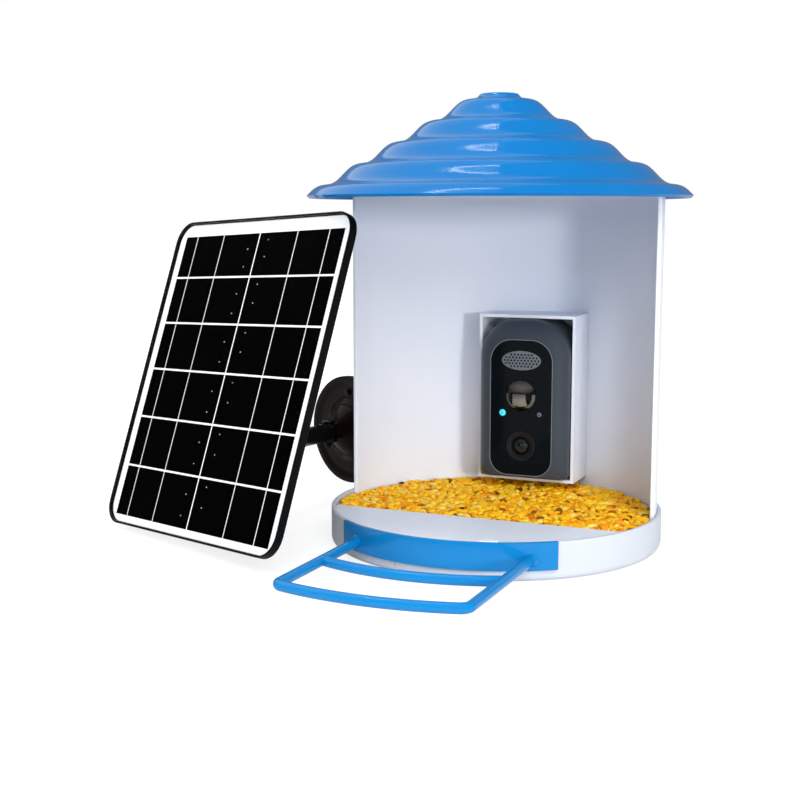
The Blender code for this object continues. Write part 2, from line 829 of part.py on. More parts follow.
def housing_outline(share, inset=0.0):
    """The housing's outline, from its full width at share 0 to its face at share 1."""
    top = CAMERA_BOTTOM + CAMERA_HEIGHT
    face_low, face_high = PLATE_BOTTOM_RADIUS, PLATE_TOP_RADIUS
    low = HOUSING_BOTTOM_RADIUS + (face_low - HOUSING_BOTTOM_RADIUS) * share
    high = HOUSING_TOP_RADIUS + (face_high - HOUSING_TOP_RADIUS) * share
    return rounded_outline(
        CAMERA_WIDTH / 2 - FACE_SIDE_INSET * share - inset,
        CAMERA_BOTTOM + FACE_BOTTOM_INSET * share + inset,
        top - FACE_TOP_INSET * share - inset,
        max(low - inset, GAP),
        max(high - inset, GAP),
    )


def boss_places():
    """Where the rear cover's screws go, in the camera's frame."""
    low, top = CAMERA_BOTTOM, CAMERA_BOTTOM + CAMERA_HEIGHT
    low_x = CAMERA_WIDTH / 2 - BOSS_SIDE_INSET
    high_x = CAMERA_WIDTH / 2 - BOSS_HIGH_SIDE_INSET
    return [
        (-low_x, low + BOSS_LOW_INSET),
        (low_x, low + BOSS_LOW_INSET),
        (-high_x, top - BOSS_HIGH_INSET),
        (high_x, top - BOSS_HIGH_INSET),
    ]


def ellipse(half_width, half_height, centre, steps=MEDIUM_STEPS):
    """An ellipse's outline."""
    angles = [2 * math.pi * i / steps for i in range(steps)]
    return [
        (centre[0] + half_width * math.cos(a), centre[1] + half_height * math.sin(a)) for a in angles
    ]


def cover_depth():
    """The depth of the rear cover's front side, behind the camera's face."""
    return HOUSING_DEPTH + SEAL_THICKNESS + 2 * GAP


def camera_back():
    """The depth of the rear cover's back."""
    return cover_depth() + COVER_THICKNESS


def build_housing():
    """The slate casing: rounded face, recess for the plate, hollow, and bosses for the cover's screws."""
    frame = camera_frame()
    loops = [[(x, y, -HOUSING_DEPTH) for x, y in housing_outline(0)]]
    for step in range(HOUSING_ROUND_STEPS + 1):
        turn = math.pi / 2 * step / HOUSING_ROUND_STEPS
        depth = HOUSING_FRONT_ROUND * (1 - math.sin(turn))
        loops.append([(x, y, -depth) for x, y in housing_outline(1 - math.cos(turn))])
    housing = loft("housing", loops, frame)
    hollow = prism(
        "hollow",
        housing_outline(0, HOUSING_WALL),
        -HOUSING_DEPTH - CUT_OVERRUN,
        -HOUSING_FRONT_ROUND,
        frame,
    )
    opening = prism(
        "opening",
        housing_outline(1, PLATE_EDGE + PLATE_SEAT),
        -HOUSING_FRONT_ROUND - CUT_OVERRUN,
        CUT_OVERRUN,
        frame,
    )
    recess = prism(
        "recess", housing_outline(1, PLATE_EDGE), -PLATE_THICKNESS - GAP, CUT_OVERRUN, frame
    )
    relief = prism(
        "speaker_relief",
        ellipse(SPEAKER_HALF_WIDTH + GAP, SPEAKER_HALF_HEIGHT + GAP, (0, face_height(GRILLE_HEIGHT_SHARE))),
        -HOUSING_FRONT_ROUND - CUT_OVERRUN,
        -PLATE_THICKNESS - GAP,
        frame,
    )
    cut(housing, hollow, opening, recess, relief)
    for x, y in boss_places():
        place = frame @ Matrix.Translation((x, y, 0))
        start = -HOUSING_DEPTH
        join(housing, cylinder("boss", BOSS_RADIUS, start, start + BOSS_LENGTH, place))
    for seat in cover_screw_seats():
        cut(housing, screw_hole(seat, cover_screw_length(), small=True))
    return finish(housing, "camera_housing", material("slate_plastic", SLATE, 0.4))


def cover_screw_seats():
    """Frames on the rear cover's back, looking backwards."""
    back = camera_front() + camera_back()
    return [facing((x, back, z), (0, 1, 0)) for x, z in boss_places()]


def cover_screw_length():
    return COVER_THICKNESS + 2 * GAP + SEAL_THICKNESS + BOSS_LENGTH / 2


def build_face():
    """The glossy front plate and what looks out through it."""
    frame = camera_frame()
    plate = prism("plate", housing_outline(1, PLATE_EDGE + GAP), -PLATE_THICKNESS, 0, frame)
    grille_hole = prism(
        "grille_hole",
        ellipse(GRILLE_HALF_WIDTH + GAP, GRILLE_HALF_HEIGHT + GAP, (0, face_height(GRILLE_HEIGHT_SHARE))),
        -PLATE_THICKNESS - CUT_OVERRUN,
        CUT_OVERRUN,
        frame,
    )
    holes = [
        (0, face_height(MOTION_HEIGHT_SHARE), MOTION_RADIUS),
        (0, face_height(LENS_HEIGHT_SHARE), LENS_RING_RADIUS),
        (-LIGHT_X, face_height(LIGHT_HEIGHT_SHARE), LIGHT_RADIUS),
        (LIGHT_X, face_height(LIGHT_HEIGHT_SHARE), MICROPHONE_HOLE_RADIUS - GAP),
    ]
    cut(plate, grille_hole)
    for x, y, radius in holes:
        place = frame @ Matrix.Translation((x, y, 0))
        cut(plate, cylinder("face_hole", radius + GAP, -PLATE_THICKNESS * 2, CUT_OVERRUN, place, MEDIUM_STEPS))
    parts = [finish(plate, "camera_front_plate", material("gloss_black", BLACK, 0.08))]
    grille = prism(
        "grille",
        ellipse(GRILLE_HALF_WIDTH, GRILLE_HALF_HEIGHT, (0, face_height(GRILLE_HEIGHT_SHARE))),
        GRILLE_PROUD - GRILLE_THICKNESS,
        GRILLE_PROUD,
        frame,
    )
    parts.append(finish(grille, "speaker_grille", material("grey_grille", GREY, 0.5)))
    speaker_top = GRILLE_PROUD - GRILLE_THICKNESS - GAP
    neck = prism(
        "speaker",
        ellipse(GRILLE_HALF_WIDTH - GAP, GRILLE_HALF_HEIGHT - GAP, (0, face_height(GRILLE_HEIGHT_SHARE))),
        -PLATE_THICKNESS - SPEAKER_DEPTH / 2,
        speaker_top,
        frame,
    )
    basket = prism(
        "basket",
        ellipse(SPEAKER_HALF_WIDTH, SPEAKER_HALF_HEIGHT, (0, face_height(GRILLE_HEIGHT_SHARE))),
        -PLATE_THICKNESS - GAP - SPEAKER_DEPTH,
        -PLATE_THICKNESS - GAP,
        frame,
    )
    join(neck, basket)
    parts.append(finish(neck, "speaker", material("speaker_black", GREY, 0.6)))
    return parts + build_motion_sensor(frame) + build_lens(frame) + build_small_face_parts(frame)


def build_motion_sensor(frame):
    """The domed motion lens and the sensor can behind it."""
    place = frame @ Matrix.Translation((0, face_height(MOTION_HEIGHT_SHARE), 0))
    radius, rise, wall = MOTION_RADIUS, MOTION_RISE, MOTION_WALL
    back = -PLATE_THICKNESS
    outer = cap_arc(radius, rise)
    inner = [(x, y) for x, y in reversed(cap_arc(radius - wall, rise - wall))]
    rim = radius + MOTION_RIM
    under = back - GAP - wall
    profile = outer + [(radius, back - GAP), (rim, back - GAP), (rim, under), (radius - wall, under)] + inner
    dome = turned("motion_lens", profile, place, MEDIUM_STEPS)
    board = -BOARD_DEPTH + GAP
    can = cylinder("can", SENSOR_RADIUS, board, board + SENSOR_DEPTH, place)
    return [
        finish(dome, "motion_lens", material("smoked_lens", GREY, 0.2)),
        finish(can, "motion_sensor", steel()),
    ]


def cap_arc(radius, rise):
    """The profile of a domed cap, from its top to its edge."""
    sphere = (radius**2 + rise**2) / (2 * rise)
    half = math.asin(radius / sphere)
    centre = rise - sphere
    points = []
    for i in range(CORNER_STEPS + 1):
        angle = half * i / CORNER_STEPS
        points.append((sphere * math.sin(angle), centre + sphere * math.cos(angle)))
    points[0] = (0, rise)
    return points


def build_lens(frame):
    """The lens: its ring in the plate, the barrel down to the board and the front glass."""
    place = frame @ Matrix.Translation((0, face_height(LENS_HEIGHT_SHARE), 0))
    ring = turned(
        "ring",
        [
            (LENS_RING_BORE, -LENS_RING_THICKNESS / 2),
            (LENS_RING_RADIUS, 0),
            (LENS_RING_RADIUS, -LENS_RING_THICKNESS),
            (LENS_RING_BORE, -LENS_RING_THICKNESS),
        ],
        place,
        MEDIUM_STEPS,
        closed=True,
    )
    board = -BOARD_DEPTH + GAP
    lip = -LENS_RING_THICKNESS / 2
    seat = lip - BARREL_LIP - GLASS_THICKNESS
    barrel = turned(
        "barrel",
        [
            (0, seat),
            (GLASS_RADIUS + GAP, seat),
            (GLASS_RADIUS + GAP, lip),
            (BARREL_RADIUS, lip),
            (BARREL_RADIUS, board),
            (0, board),
        ],
        place,
        MEDIUM_STEPS,
    )
    glass_top = seat + GAP + GLASS_THICKNESS
    crown = [(x, glass_top - GLASS_CROWN + y) for x, y in cap_arc(GLASS_RADIUS, GLASS_CROWN)]
    glass = turned(
        "glass", crown + [(GLASS_RADIUS, seat + GAP), (0, seat + GAP)], place, MEDIUM_STEPS
    )
    return [
        finish(ring, "lens_ring", material("ring_black", BLACK, 0.3)),
        finish(barrel, "lens_barrel", material("barrel_black", BLACK, 0.35)),
        finish(glass, "lens_glass", material("lens_glass", BLACK, 0.02)),
    ]


def build_small_face_parts(frame):
    """The status light's pipe and the microphone behind its hole."""
    light_place = frame @ Matrix.Translation((-LIGHT_X, face_height(LIGHT_HEIGHT_SHARE), 0))
    light = cylinder("light", LIGHT_RADIUS, -BOARD_DEPTH + GAP, LIGHT_PROUD, light_place, MEDIUM_STEPS)
    mic_place = frame @ Matrix.Translation((LIGHT_X, face_height(LIGHT_HEIGHT_SHARE), 0))
    top = -PLATE_THICKNESS - GAP
    mic = cylinder("mic", MICROPHONE_RADIUS, top - MICROPHONE_DEPTH, top, mic_place)
    return [
        finish(light, "status_light", material("cyan_light", CYAN, 0.3)),
        finish(mic, "microphone", steel()),
    ]


def build_camera_inside():
    """The main board, the battery cells and their holder."""
    frame = camera_frame()
    board = prism(
        "board",
        housing_outline(0, HOUSING_WALL + GAP),
        -BOARD_DEPTH - BOARD_THICKNESS,
        -BOARD_DEPTH,
        frame,
    )
    parts = [finish(board, "main_board", material("board_green", BOARD_GREEN, 0.5))]
    holder_back = -cover_depth() + GAP
    holder_front = -CELL_DEPTH
    half = CELL_SPACING / 2 + CELL_RADIUS + GAP + HOLDER_SIDE_WALL
    low = cell_bottom() - GAP - HOLDER_END_WALL
    length = cell_length() + 2 * (GAP + HOLDER_END_WALL)
    holder = box(
        "holder",
        (2 * half, length, holder_front - holder_back),
        (0, low + length / 2, (holder_front + holder_back) / 2),
        frame,
    )
    for i, side in enumerate((-1, 1)):
        axis = facing((side * CELL_SPACING / 2, camera_front() + CELL_DEPTH, 0), (0, 0, 1), (0, 1, 0))
        low, high = cell_bottom(), cell_bottom() + cell_length()
        cut(holder, cylinder("cell_space", CELL_RADIUS + GAP, low - GAP, high + GAP, axis, MEDIUM_STEPS))
        cell = cylinder("cell", CELL_RADIUS, cell_bottom(), cell_bottom() + cell_length(), axis, MEDIUM_STEPS)
        parts.append(finish(cell, f"battery_cell_{i + 1}", material("cell_wrap", CELL_BLUE, 0.3)))
    parts.append(finish(holder, "battery_holder", material("holder_black", BLACK, 0.6)))
    return parts


def build_camera_back():
    """The seal, the rear cover with its screws, the charging socket, its flap and the power button."""
    frame = camera_frame()
    front, back = -cover_depth(), -camera_back()
    seal_front = -HOUSING_DEPTH - GAP
    seal = prism(
        "seal", housing_outline(0, SEAL_INSET), seal_front - SEAL_THICKNESS, seal_front, frame
    )
    seal_hole = prism(
        "seal_hole",
        housing_outline(0, HOUSING_WALL),
        front - CUT_OVERRUN,
        -HOUSING_DEPTH + CUT_OVERRUN,
        frame,
    )
    cut(seal, seal_hole)
    cover = prism("cover", housing_outline(0), back, front, frame)
    for i, seat in enumerate(cover_screw_seats()):
        cut(cover, screw_hole(seat, cover_screw_length(), small=True))
        cut(seal, screw_hole(seat, cover_screw_length(), small=True))
    socket_size = (SOCKET_WIDTH, SOCKET_HEIGHT, SOCKET_DEPTH)
    socket_centre = (SOCKET_X, PORT_Z, back + SOCKET_DEPTH / 2)
    socket = box("socket", socket_size, socket_centre, frame)
    port = box(
        "port",
        (SOCKET_WIDTH + 2 * GAP, SOCKET_HEIGHT + 2 * GAP, SOCKET_DEPTH + CUT_OVERRUN),
        socket_centre,
        frame,
    )
    mouth = box(
        "mouth",
        (SOCKET_WIDTH - 2 * SOCKET_RIM, SOCKET_HEIGHT - 2 * SOCKET_RIM, SOCKET_DEPTH),
        (SOCKET_X, PORT_Z, back),
        frame,
    )
    cut(socket, mouth)
    button_place = facing((BUTTON_X, camera_front() + camera_back(), PORT_Z), (0, 1, 0))
    button_hole = cylinder(
        "button_hole", BUTTON_RADIUS + GAP, -COVER_THICKNESS - CUT_OVERRUN, CUT_OVERRUN, button_place
    )
    cut(cover, port, button_hole)
    inner = -COVER_THICKNESS - GAP
    flange = BUTTON_RADIUS + BUTTON_FLANGE
    button = turned(
        "button",
        [
            (0, BUTTON_PROUD),
            (BUTTON_RADIUS, BUTTON_PROUD),
            (BUTTON_RADIUS, inner),
            (flange, inner),
            (flange, inner - BUTTON_FLANGE),
            (0, inner - BUTTON_FLANGE),
        ],
        button_place,
        SMALL_STEPS,
    )
    finish(button, "power_button", material("button_rubber", GREY, 0.6))
    pivot("power_button_axis", button_place, button)
    build_flap()
    parts = [
        finish(seal, "housing_seal", material("seal_rubber", BLACK, 0.8)),
        finish(cover, "camera_rear_cover", material("slate_plastic", SLATE, 0.4)),
        finish(socket, "charge_socket", steel()),
    ]
    for i, seat in enumerate(cover_screw_seats()):
        parts.append(screw(f"rear_cover_screw_{i + 1}", seat, cover_screw_length(), small=True))
    return parts


def flap_hinge():
    """The flap's hinge line on the cover's back, its Z along -X so that a positive turn opens the flap."""
    y = camera_front() + camera_back() + GAP + FLAP_HINGE_RADIUS
    z = PORT_Z - FLAP_HEIGHT / 2 - FLAP_HINGE_RADIUS
    return facing((SOCKET_X, y, z), (-1, 0, 0))


def build_flap():
    """The rubber flap over the charging socket, with its rolled hinge edge."""
    hinge = flap_hinge()
    y, z = hinge.translation.y, hinge.translation.z
    low = z
    leaf = box(
        "flap",
        (FLAP_WIDTH, FLAP_THICKNESS, FLAP_HEIGHT + 2 * FLAP_HINGE_RADIUS),
        (SOCKET_X, y - FLAP_HINGE_RADIUS + FLAP_THICKNESS / 2, low + FLAP_HEIGHT / 2 + FLAP_HINGE_RADIUS),
    )
    half = FLAP_WIDTH / 2 - GAP
    join(leaf, cylinder("flap_roll", FLAP_HINGE_RADIUS, -half, half, hinge))
    finish(leaf, "charge_port_flap", material("flap_rubber", GREY, 0.8))
    pivot("charge_port_flap_axis", hinge, leaf)


def build_pocket():
    """The white sleeve on the shell's inside that the camera unit slides into."""
    half = CAMERA_WIDTH / 2 + SLIDE_CLEARANCE
    bottom = CAMERA_BOTTOM - SLIDE_CLEARANCE
    top = CAMERA_BOTTOM + CAMERA_HEIGHT + SLIDE_CLEARANCE
    rear = TRAY_RADIUS
    height = top - bottom
    pocket = box(
        "pocket",
        (2 * (half + POCKET_WALL), rear - pocket_front(), height + 2 * POCKET_WALL),
        (0, (rear + pocket_front()) / 2, (top + bottom) / 2),
    )
    boolean(
        pocket,
        cylinder("pocket_round", shell_inner() - GAP, 0, SHELL_TOP, steps=4 * LARGE_STEPS),
        "INTERSECT",
    )
    space = box(
        "pocket_space",
        (2 * half, pocket_back() - pocket_front() + CUT_OVERRUN, height),
        (0, (pocket_back() + pocket_front() - CUT_OVERRUN) / 2, (top + bottom) / 2),
    )
    window = box(
        "pocket_window",
        (WINDOW_WIDTH, TRAY_RADIUS - pocket_front(), WINDOW_HEIGHT),
        (0, TRAY_RADIUS, WINDOW_BOTTOM + WINDOW_HEIGHT / 2),
    )
    cut(pocket, space, window)
    length = SHELL_WALL + GAP + POCKET_SCREW_BITE
    for i, seat in enumerate(pocket_screw_seats()):
        cut(pocket, screw_hole(seat, length))
        screw(f"pocket_screw_{i + 1}", seat, length)
    finish(pocket, "camera_pocket", white_plastic())


def build_camera():
    """The camera unit, which slides forward out of its pocket."""
    parts = [build_housing()] + build_face() + build_camera_inside() + build_camera_back()
    pivot("camera_slide_axis", camera_frame(), *parts)


def ear_normal():
    return Vector((-math.sin(EAR_ANGLE), -math.cos(EAR_ANGLE), 0))


def ear_across():
    """The direction from the ear towards the shell's axis."""
    return Vector((math.cos(EAR_ANGLE), -math.sin(EAR_ANGLE), 0))


def ear_heading():
    """The angle from +Y towards -X at which the ear leaves the shell."""
    return math.pi / 2 - EAR_ANGLE - math.asin(EAR_SET_BACK / shell_outer())


def flange_frame():
    """The flange's frame: Z out of its face, X towards the shell."""
    centre = -ear_across() * ear_reach() - ear_normal() * EAR_SET_BACK + Vector((0, 0, EAR_Z))
    return facing(centre, ear_normal())


def build_ear():
    """The bracket's saddle on the shell, the ear that stands out of it and its two gussets."""
    inner = shell_outer() + GAP
    outer = inner + SADDLE_THICKNESS
    middle = math.pi / 2 + ear_heading()
    saddle = prism(
        "saddle",
        ring_sector(inner, outer, middle - SADDLE_HALF_ANGLE, middle + SADDLE_HALF_ANGLE, CORNER_STEPS * 2),
        EAR_Z - SADDLE_HALF_HEIGHT,
        EAR_Z + SADDLE_HALF_HEIGHT,
    )
    frame = flange_frame()
    to_saddle = ear_reach() - math.sqrt((inner + outer) ** 2 / 4 - EAR_SET_BACK**2)
    back = -GAP - EAR_THICKNESS
    plate = box(
        "ear_plate",
        (to_saddle, 2 * EAR_HALF_HEIGHT, EAR_THICKNESS),
        (to_saddle / 2, 0, -GAP - EAR_THICKNESS / 2),
        frame,
    )
    end = cylinder("ear_end", EAR_END_RADIUS, back, -GAP, frame, MEDIUM_STEPS)
    join(saddle, plate, end)
    foot = to_saddle
    corner = (foot - GUSSET_LENGTH, back + EAR_THICKNESS / 2)
    outline = [corner, (foot, corner[1]), (foot, back - GUSSET_LENGTH / 2)]
    for rise in (-1, 1):
        height = rise * (EAR_HALF_HEIGHT - GUSSET_THICKNESS)
        turn = frame @ Matrix.Translation((0, height, 0)) @ Matrix.Rotation(math.pi / 2, 4, "X")
        join(saddle, prism("gusset", outline, -GUSSET_THICKNESS / 2, GUSSET_THICKNESS / 2, turn))
    for i, seat in enumerate(saddle_screw_seats()):
        length = SADDLE_THICKNESS + GAP + SHELL_WALL
        cut(saddle, screw_hole(seat, length))
        screw(f"saddle_screw_{i + 1}", seat, length)
    for seat in flange_screw_seats():
        cut(saddle, screw_hole(seat, flange_screw_length()))
    finish(saddle, "side_bracket", white_plastic())


def flange_screw_seats():
    """Frames in the flange's dish for its screws."""
    places = []
    for i in range(3):
        angle = math.pi / 2 + 2 * math.pi * i / 3
        x, y = FLANGE_SCREW_CIRCLE * math.cos(angle), FLANGE_SCREW_CIRCLE * math.sin(angle)
        places.append((x, y))
    return [flange_frame() @ Matrix.Translation((x, y, FLANGE_DISH_HEIGHT)) for x, y in places]


def flange_screw_length():
    return FLANGE_DISH_HEIGHT + GAP + EAR_THICKNESS / 2


def build_flange():
    """The dished round flange, its screws and the hub that swivels in it."""
    frame = flange_frame()
    bore = SPINDLE_RADIUS + GAP
    rim_inner = FLANGE_RADIUS - FLANGE_RIM_WIDTH
    flange = turned(
        "flange",
        [
            (bore, FLANGE_SEAT_HEIGHT),
            (FLANGE_SEAT_RADIUS, FLANGE_SEAT_HEIGHT),
            (FLANGE_SEAT_RADIUS + FLANGE_RIM_WIDTH, FLANGE_DISH_HEIGHT),
            (FLANGE_DISH_RADIUS, FLANGE_DISH_HEIGHT),
            (rim_inner, FLANGE_RIM_HEIGHT),
            (FLANGE_RADIUS, FLANGE_RIM_HEIGHT),
            (FLANGE_RADIUS, 0),
            (bore, 0),
        ],
        frame,
        ROOF_STEPS,
        closed=True,
    )
    for i, seat in enumerate(flange_screw_seats()):
        cut(flange, screw_hole(seat, flange_screw_length()))
        screw(f"flange_screw_{i + 1}", seat, flange_screw_length())
    finish(flange, "bracket_flange", dark_plastic())
    base = FLANGE_SEAT_HEIGHT + GAP
    dome = [(x, base + y) for x, y in cap_arc(DOME_RADIUS, DOME_HEIGHT)]
    hub = turned(
        "hub",
        dome + [(DOME_RADIUS, base), (SPINDLE_RADIUS, base), (SPINDLE_RADIUS, GAP), (0, GAP)],
        frame,
        MEDIUM_STEPS,
    )
    tongue_top = shoulder_height()
    tongue = box(
        "tongue",
        (TONGUE_WIDTH, 2 * TONGUE_HALF_LENGTH, tongue_top - base),
        (0, 0, (tongue_top + base) / 2),
        frame,
    )
    upright = shoulder_frame()
    eye = cylinder("eye", TONGUE_RADIUS, -TONGUE_HALF_LENGTH, TONGUE_HALF_LENGTH, upright, MEDIUM_STEPS)
    join(hub, tongue, eye)
    cut(hub, bolt_hole(upright))
    finish(hub, "swivel_hub", dark_plastic())
    pivot("bracket_swivel_axis", frame, hub)


def bolt_hole(frame):
    """The cutter for a bolt's hole through an eye and its fork."""
    reach = ELBOW_EYE_HALF_LENGTH + KNUCKLE_EAR + ARM_RADIUS
    return cylinder("bolt_hole", BOLT_RADIUS + GAP, -reach, reach, frame)


def shoulder_height():
    """The shoulder bolt's height above the flange's back."""
    return FLANGE_SEAT_HEIGHT + GAP + DOME_HEIGHT + DOME_CLEARANCE + ARM_RADIUS


def shoulder_frame():
    """The shoulder bolt's frame: Z up along the bolt, Y out along the arm."""
    centre = flange_frame() @ Vector((0, 0, shoulder_height()))
    along = elbow_point() - centre
    along.z = 0
    return facing(centre, (0, 0, 1), along)


def panel_frame():
    """The panel's frame: X across, Y up its face, Z out of its face."""
    flat = math.cos(PANEL_TILT)
    normal = Vector((-math.sin(PANEL_YAW) * flat, -math.cos(PANEL_YAW) * flat, math.sin(PANEL_TILT)))
    centre = flange_frame() @ Vector((PANEL_ACROSS, PANEL_RISE, PANEL_AHEAD))
    return facing(centre, normal) @ Matrix.Rotation(PANEL_ROLL, 4, "Z")


def ledge_front():
    """The depth of the frame's ledge, behind the panel's face."""
    return -GLASS_RECESS - PANEL_GLASS_THICKNESS - CELL_SHEET_THICKNESS - 2 * GAP


def ledge_back():
    """The depth of the frame's back."""
    return ledge_front() - FRAME_LEDGE_THICKNESS


def cover_back():
    """The depth of the back cover's outside."""
    return ledge_back() - GAP - BACK_COVER_THICKNESS


def boss_face():
    """The depth of the panel boss's end, behind the panel's face."""
    return cover_back() - PANEL_BOSS_HEIGHT


def boss_frame():
    """The frame on the panel boss's end, its Z pointing back out of the panel."""
    local = Matrix.Translation((0, -PANEL_BOSS_DROP, boss_face())) @ Matrix.Rotation(math.pi, 4, "Y")
    return panel_frame() @ local


def elbow_frame():
    """The elbow bolt's frame: Z along the bolt, across the panel."""
    centre = boss_frame() @ Vector((0, 0, elbow_height()))
    across = boss_frame().to_3x3() @ Vector((1, 0, 0))
    return facing(centre, across)


def elbow_height():
    return GAP + KNUCKLE_BASE_THICKNESS + KNUCKLE_PIN_HEIGHT


def elbow_point():
    return elbow_frame().translation


def build_arm():
    """The arm: a slotted round end on the hub's tongue, a straight bar and an eye on the elbow bolt."""
    shoulder = shoulder_frame()
    start, end = shoulder.translation, elbow_point()
    arm = cylinder("arm_end", ARM_RADIUS, -ARM_RADIUS, ARM_RADIUS, shoulder, MEDIUM_STEPS)
    slot_floor = TONGUE_RADIUS + DOME_CLEARANCE
    slot_start = 2 * ARM_RADIUS
    slot = box(
        "arm_slot",
        (4 * ARM_RADIUS, slot_start + slot_floor, 2 * (TONGUE_HALF_LENGTH + GAP)),
        (0, (slot_floor - slot_start) / 2, 0),
        shoulder,
    )
    run = facing(start, end - start)
    length = (end - start).length
    bar = cylinder("bar", ARM_RADIUS, 0, length - ELBOW_EYE_RADIUS / 2, run, MEDIUM_STEPS)
    elbow = elbow_frame()
    eye = cylinder(
        "elbow_eye", ELBOW_EYE_RADIUS, -ELBOW_EYE_HALF_LENGTH, ELBOW_EYE_HALF_LENGTH, elbow, MEDIUM_STEPS
    )
    cut(bar, *elbow_trim(elbow))
    join(arm, bar)
    cut(arm, slot)
    join(arm, eye)
    cut(arm, bolt_hole(shoulder), bolt_hole(elbow))
    finish(arm, "panel_arm", dark_plastic())
    top = ARM_RADIUS + GAP
    bolt = turned(
        "bolt",
        [
            (0, top + BOLT_HEAD_HEIGHT),
            (BOLT_HEAD_RADIUS * SCREW_CROWN_SHARE, top + BOLT_HEAD_HEIGHT),
            (BOLT_HEAD_RADIUS, top + BOLT_HEAD_HEIGHT * SCREW_CROWN_SHARE),
            (BOLT_HEAD_RADIUS, top),
            (BOLT_RADIUS, top),
            (BOLT_RADIUS, -top),
            (0, -top),
        ],
        shoulder,
        SMALL_STEPS,
    )
    finish(bolt, "shoulder_bolt", steel())
    pivot("arm_shoulder_axis", shoulder, arm, bolt)


def elbow_trim(elbow):
    """Cutters that narrow the bar's end to the width of its eye."""
    width = 4 * ARM_RADIUS
    reach = KNUCKLE_PIN_HEIGHT + KNUCKLE_EAR
    cutters = []
    for way in (-1, 1):
        centre = way * (ELBOW_EYE_HALF_LENGTH + width / 2)
        cutters.append(box("bar_trim", (2 * reach, 2 * reach, width), (0, 0, centre), elbow))
    return cutters


def build_knob(elbow, start):
    """The lobed knob on the elbow bolt, which clamps the knuckle."""
    knob_end = start + KNOB_NECK_HEIGHT + KNOB_HEIGHT
    steps = KNOB_LOBES * 6
    outline = []
    for i in range(steps):
        angle = 2 * math.pi * i / steps
        radius = KNOB_RADIUS - KNOB_LOBE_DEPTH * (1 - math.cos(KNOB_LOBES * angle)) / 2
        outline.append((radius * math.cos(angle), radius * math.sin(angle)))
    knob = prism("knob", outline, -knob_end, KNOB_HEIGHT - knob_end, elbow)
    neck = cylinder("knob_neck", KNOB_NECK_RADIUS, KNOB_HEIGHT / 2 - knob_end, -start, elbow)
    bore = cylinder("knob_bore", BOLT_RADIUS + GAP, -knob_end + KNOB_HEIGHT / 2 - GAP, CUT_OVERRUN, elbow)
    join(knob, neck)
    cut(knob, bore)
    finish(knob, "clamp_knob", dark_plastic())
    pivot("clamp_knob_axis", elbow, knob)


def build_knuckle():
    """The forked knuckle that turns in the panel's boss, and the elbow bolt with its knob."""
    frame = boss_frame()
    low = GAP
    top = low + KNUCKLE_BASE_THICKNESS
    spindle = PANEL_BOSS_BORE - GAP
    knuckle = turned(
        "knuckle",
        [
            (0, top),
            (KNUCKLE_BASE_RADIUS, top),
            (KNUCKLE_BASE_RADIUS, low),
            (spindle, low),
            (spindle, -PANEL_BOSS_BORE_DEPTH + GAP),
            (0, -PANEL_BOSS_BORE_DEPTH + GAP),
        ],
        frame,
        MEDIUM_STEPS,
    )
    elbow = elbow_frame()
    inner = ELBOW_EYE_HALF_LENGTH + GAP
    for way in (-1, 1):
        side = way * (inner + KNUCKLE_EAR / 2)
        low_end, high_end = sorted((way * inner, way * (inner + KNUCKLE_EAR)))
        stem = box(
            "knuckle_stem",
            (KNUCKLE_EAR, 2 * ELBOW_EYE_RADIUS, KNUCKLE_PIN_HEIGHT + low + KNUCKLE_BASE_THICKNESS / 2),
            (side, 0, (elbow_height() + top - KNUCKLE_BASE_THICKNESS / 2) / 2),
            frame,
        )
        ear = cylinder("knuckle_ear", ELBOW_EYE_RADIUS, low_end, high_end, elbow, MEDIUM_STEPS)
        join(knuckle, stem, ear)
    cut(knuckle, bolt_hole(elbow))
    finish(knuckle, "panel_knuckle", dark_plastic())
    end = inner + KNUCKLE_EAR + GAP
    tail = -end - KNOB_NECK_HEIGHT - KNOB_HEIGHT / 2
    pin = turned(
        "pin",
        [
            (0, end + BOLT_HEAD_HEIGHT),
            (BOLT_HEAD_RADIUS, end + BOLT_HEAD_HEIGHT),
            (BOLT_HEAD_RADIUS, end),
            (BOLT_RADIUS, end),
            (BOLT_RADIUS, tail),
            (0, tail),
        ],
        elbow,
        SMALL_STEPS,
    )
    finish(pin, "elbow_bolt", steel())
    pivot("panel_tilt_axis", elbow, knuckle, pin)
    build_knob(elbow, end)


def panel_outline(inset):
    """The panel's outline, set in from its edge."""
    return rounded_outline(
        PANEL_WIDTH / 2 - inset,
        -PANEL_HEIGHT / 2 + inset,
        PANEL_HEIGHT / 2 - inset,
        PANEL_CORNER_RADIUS - inset,
        PANEL_CORNER_RADIUS - inset,
    )


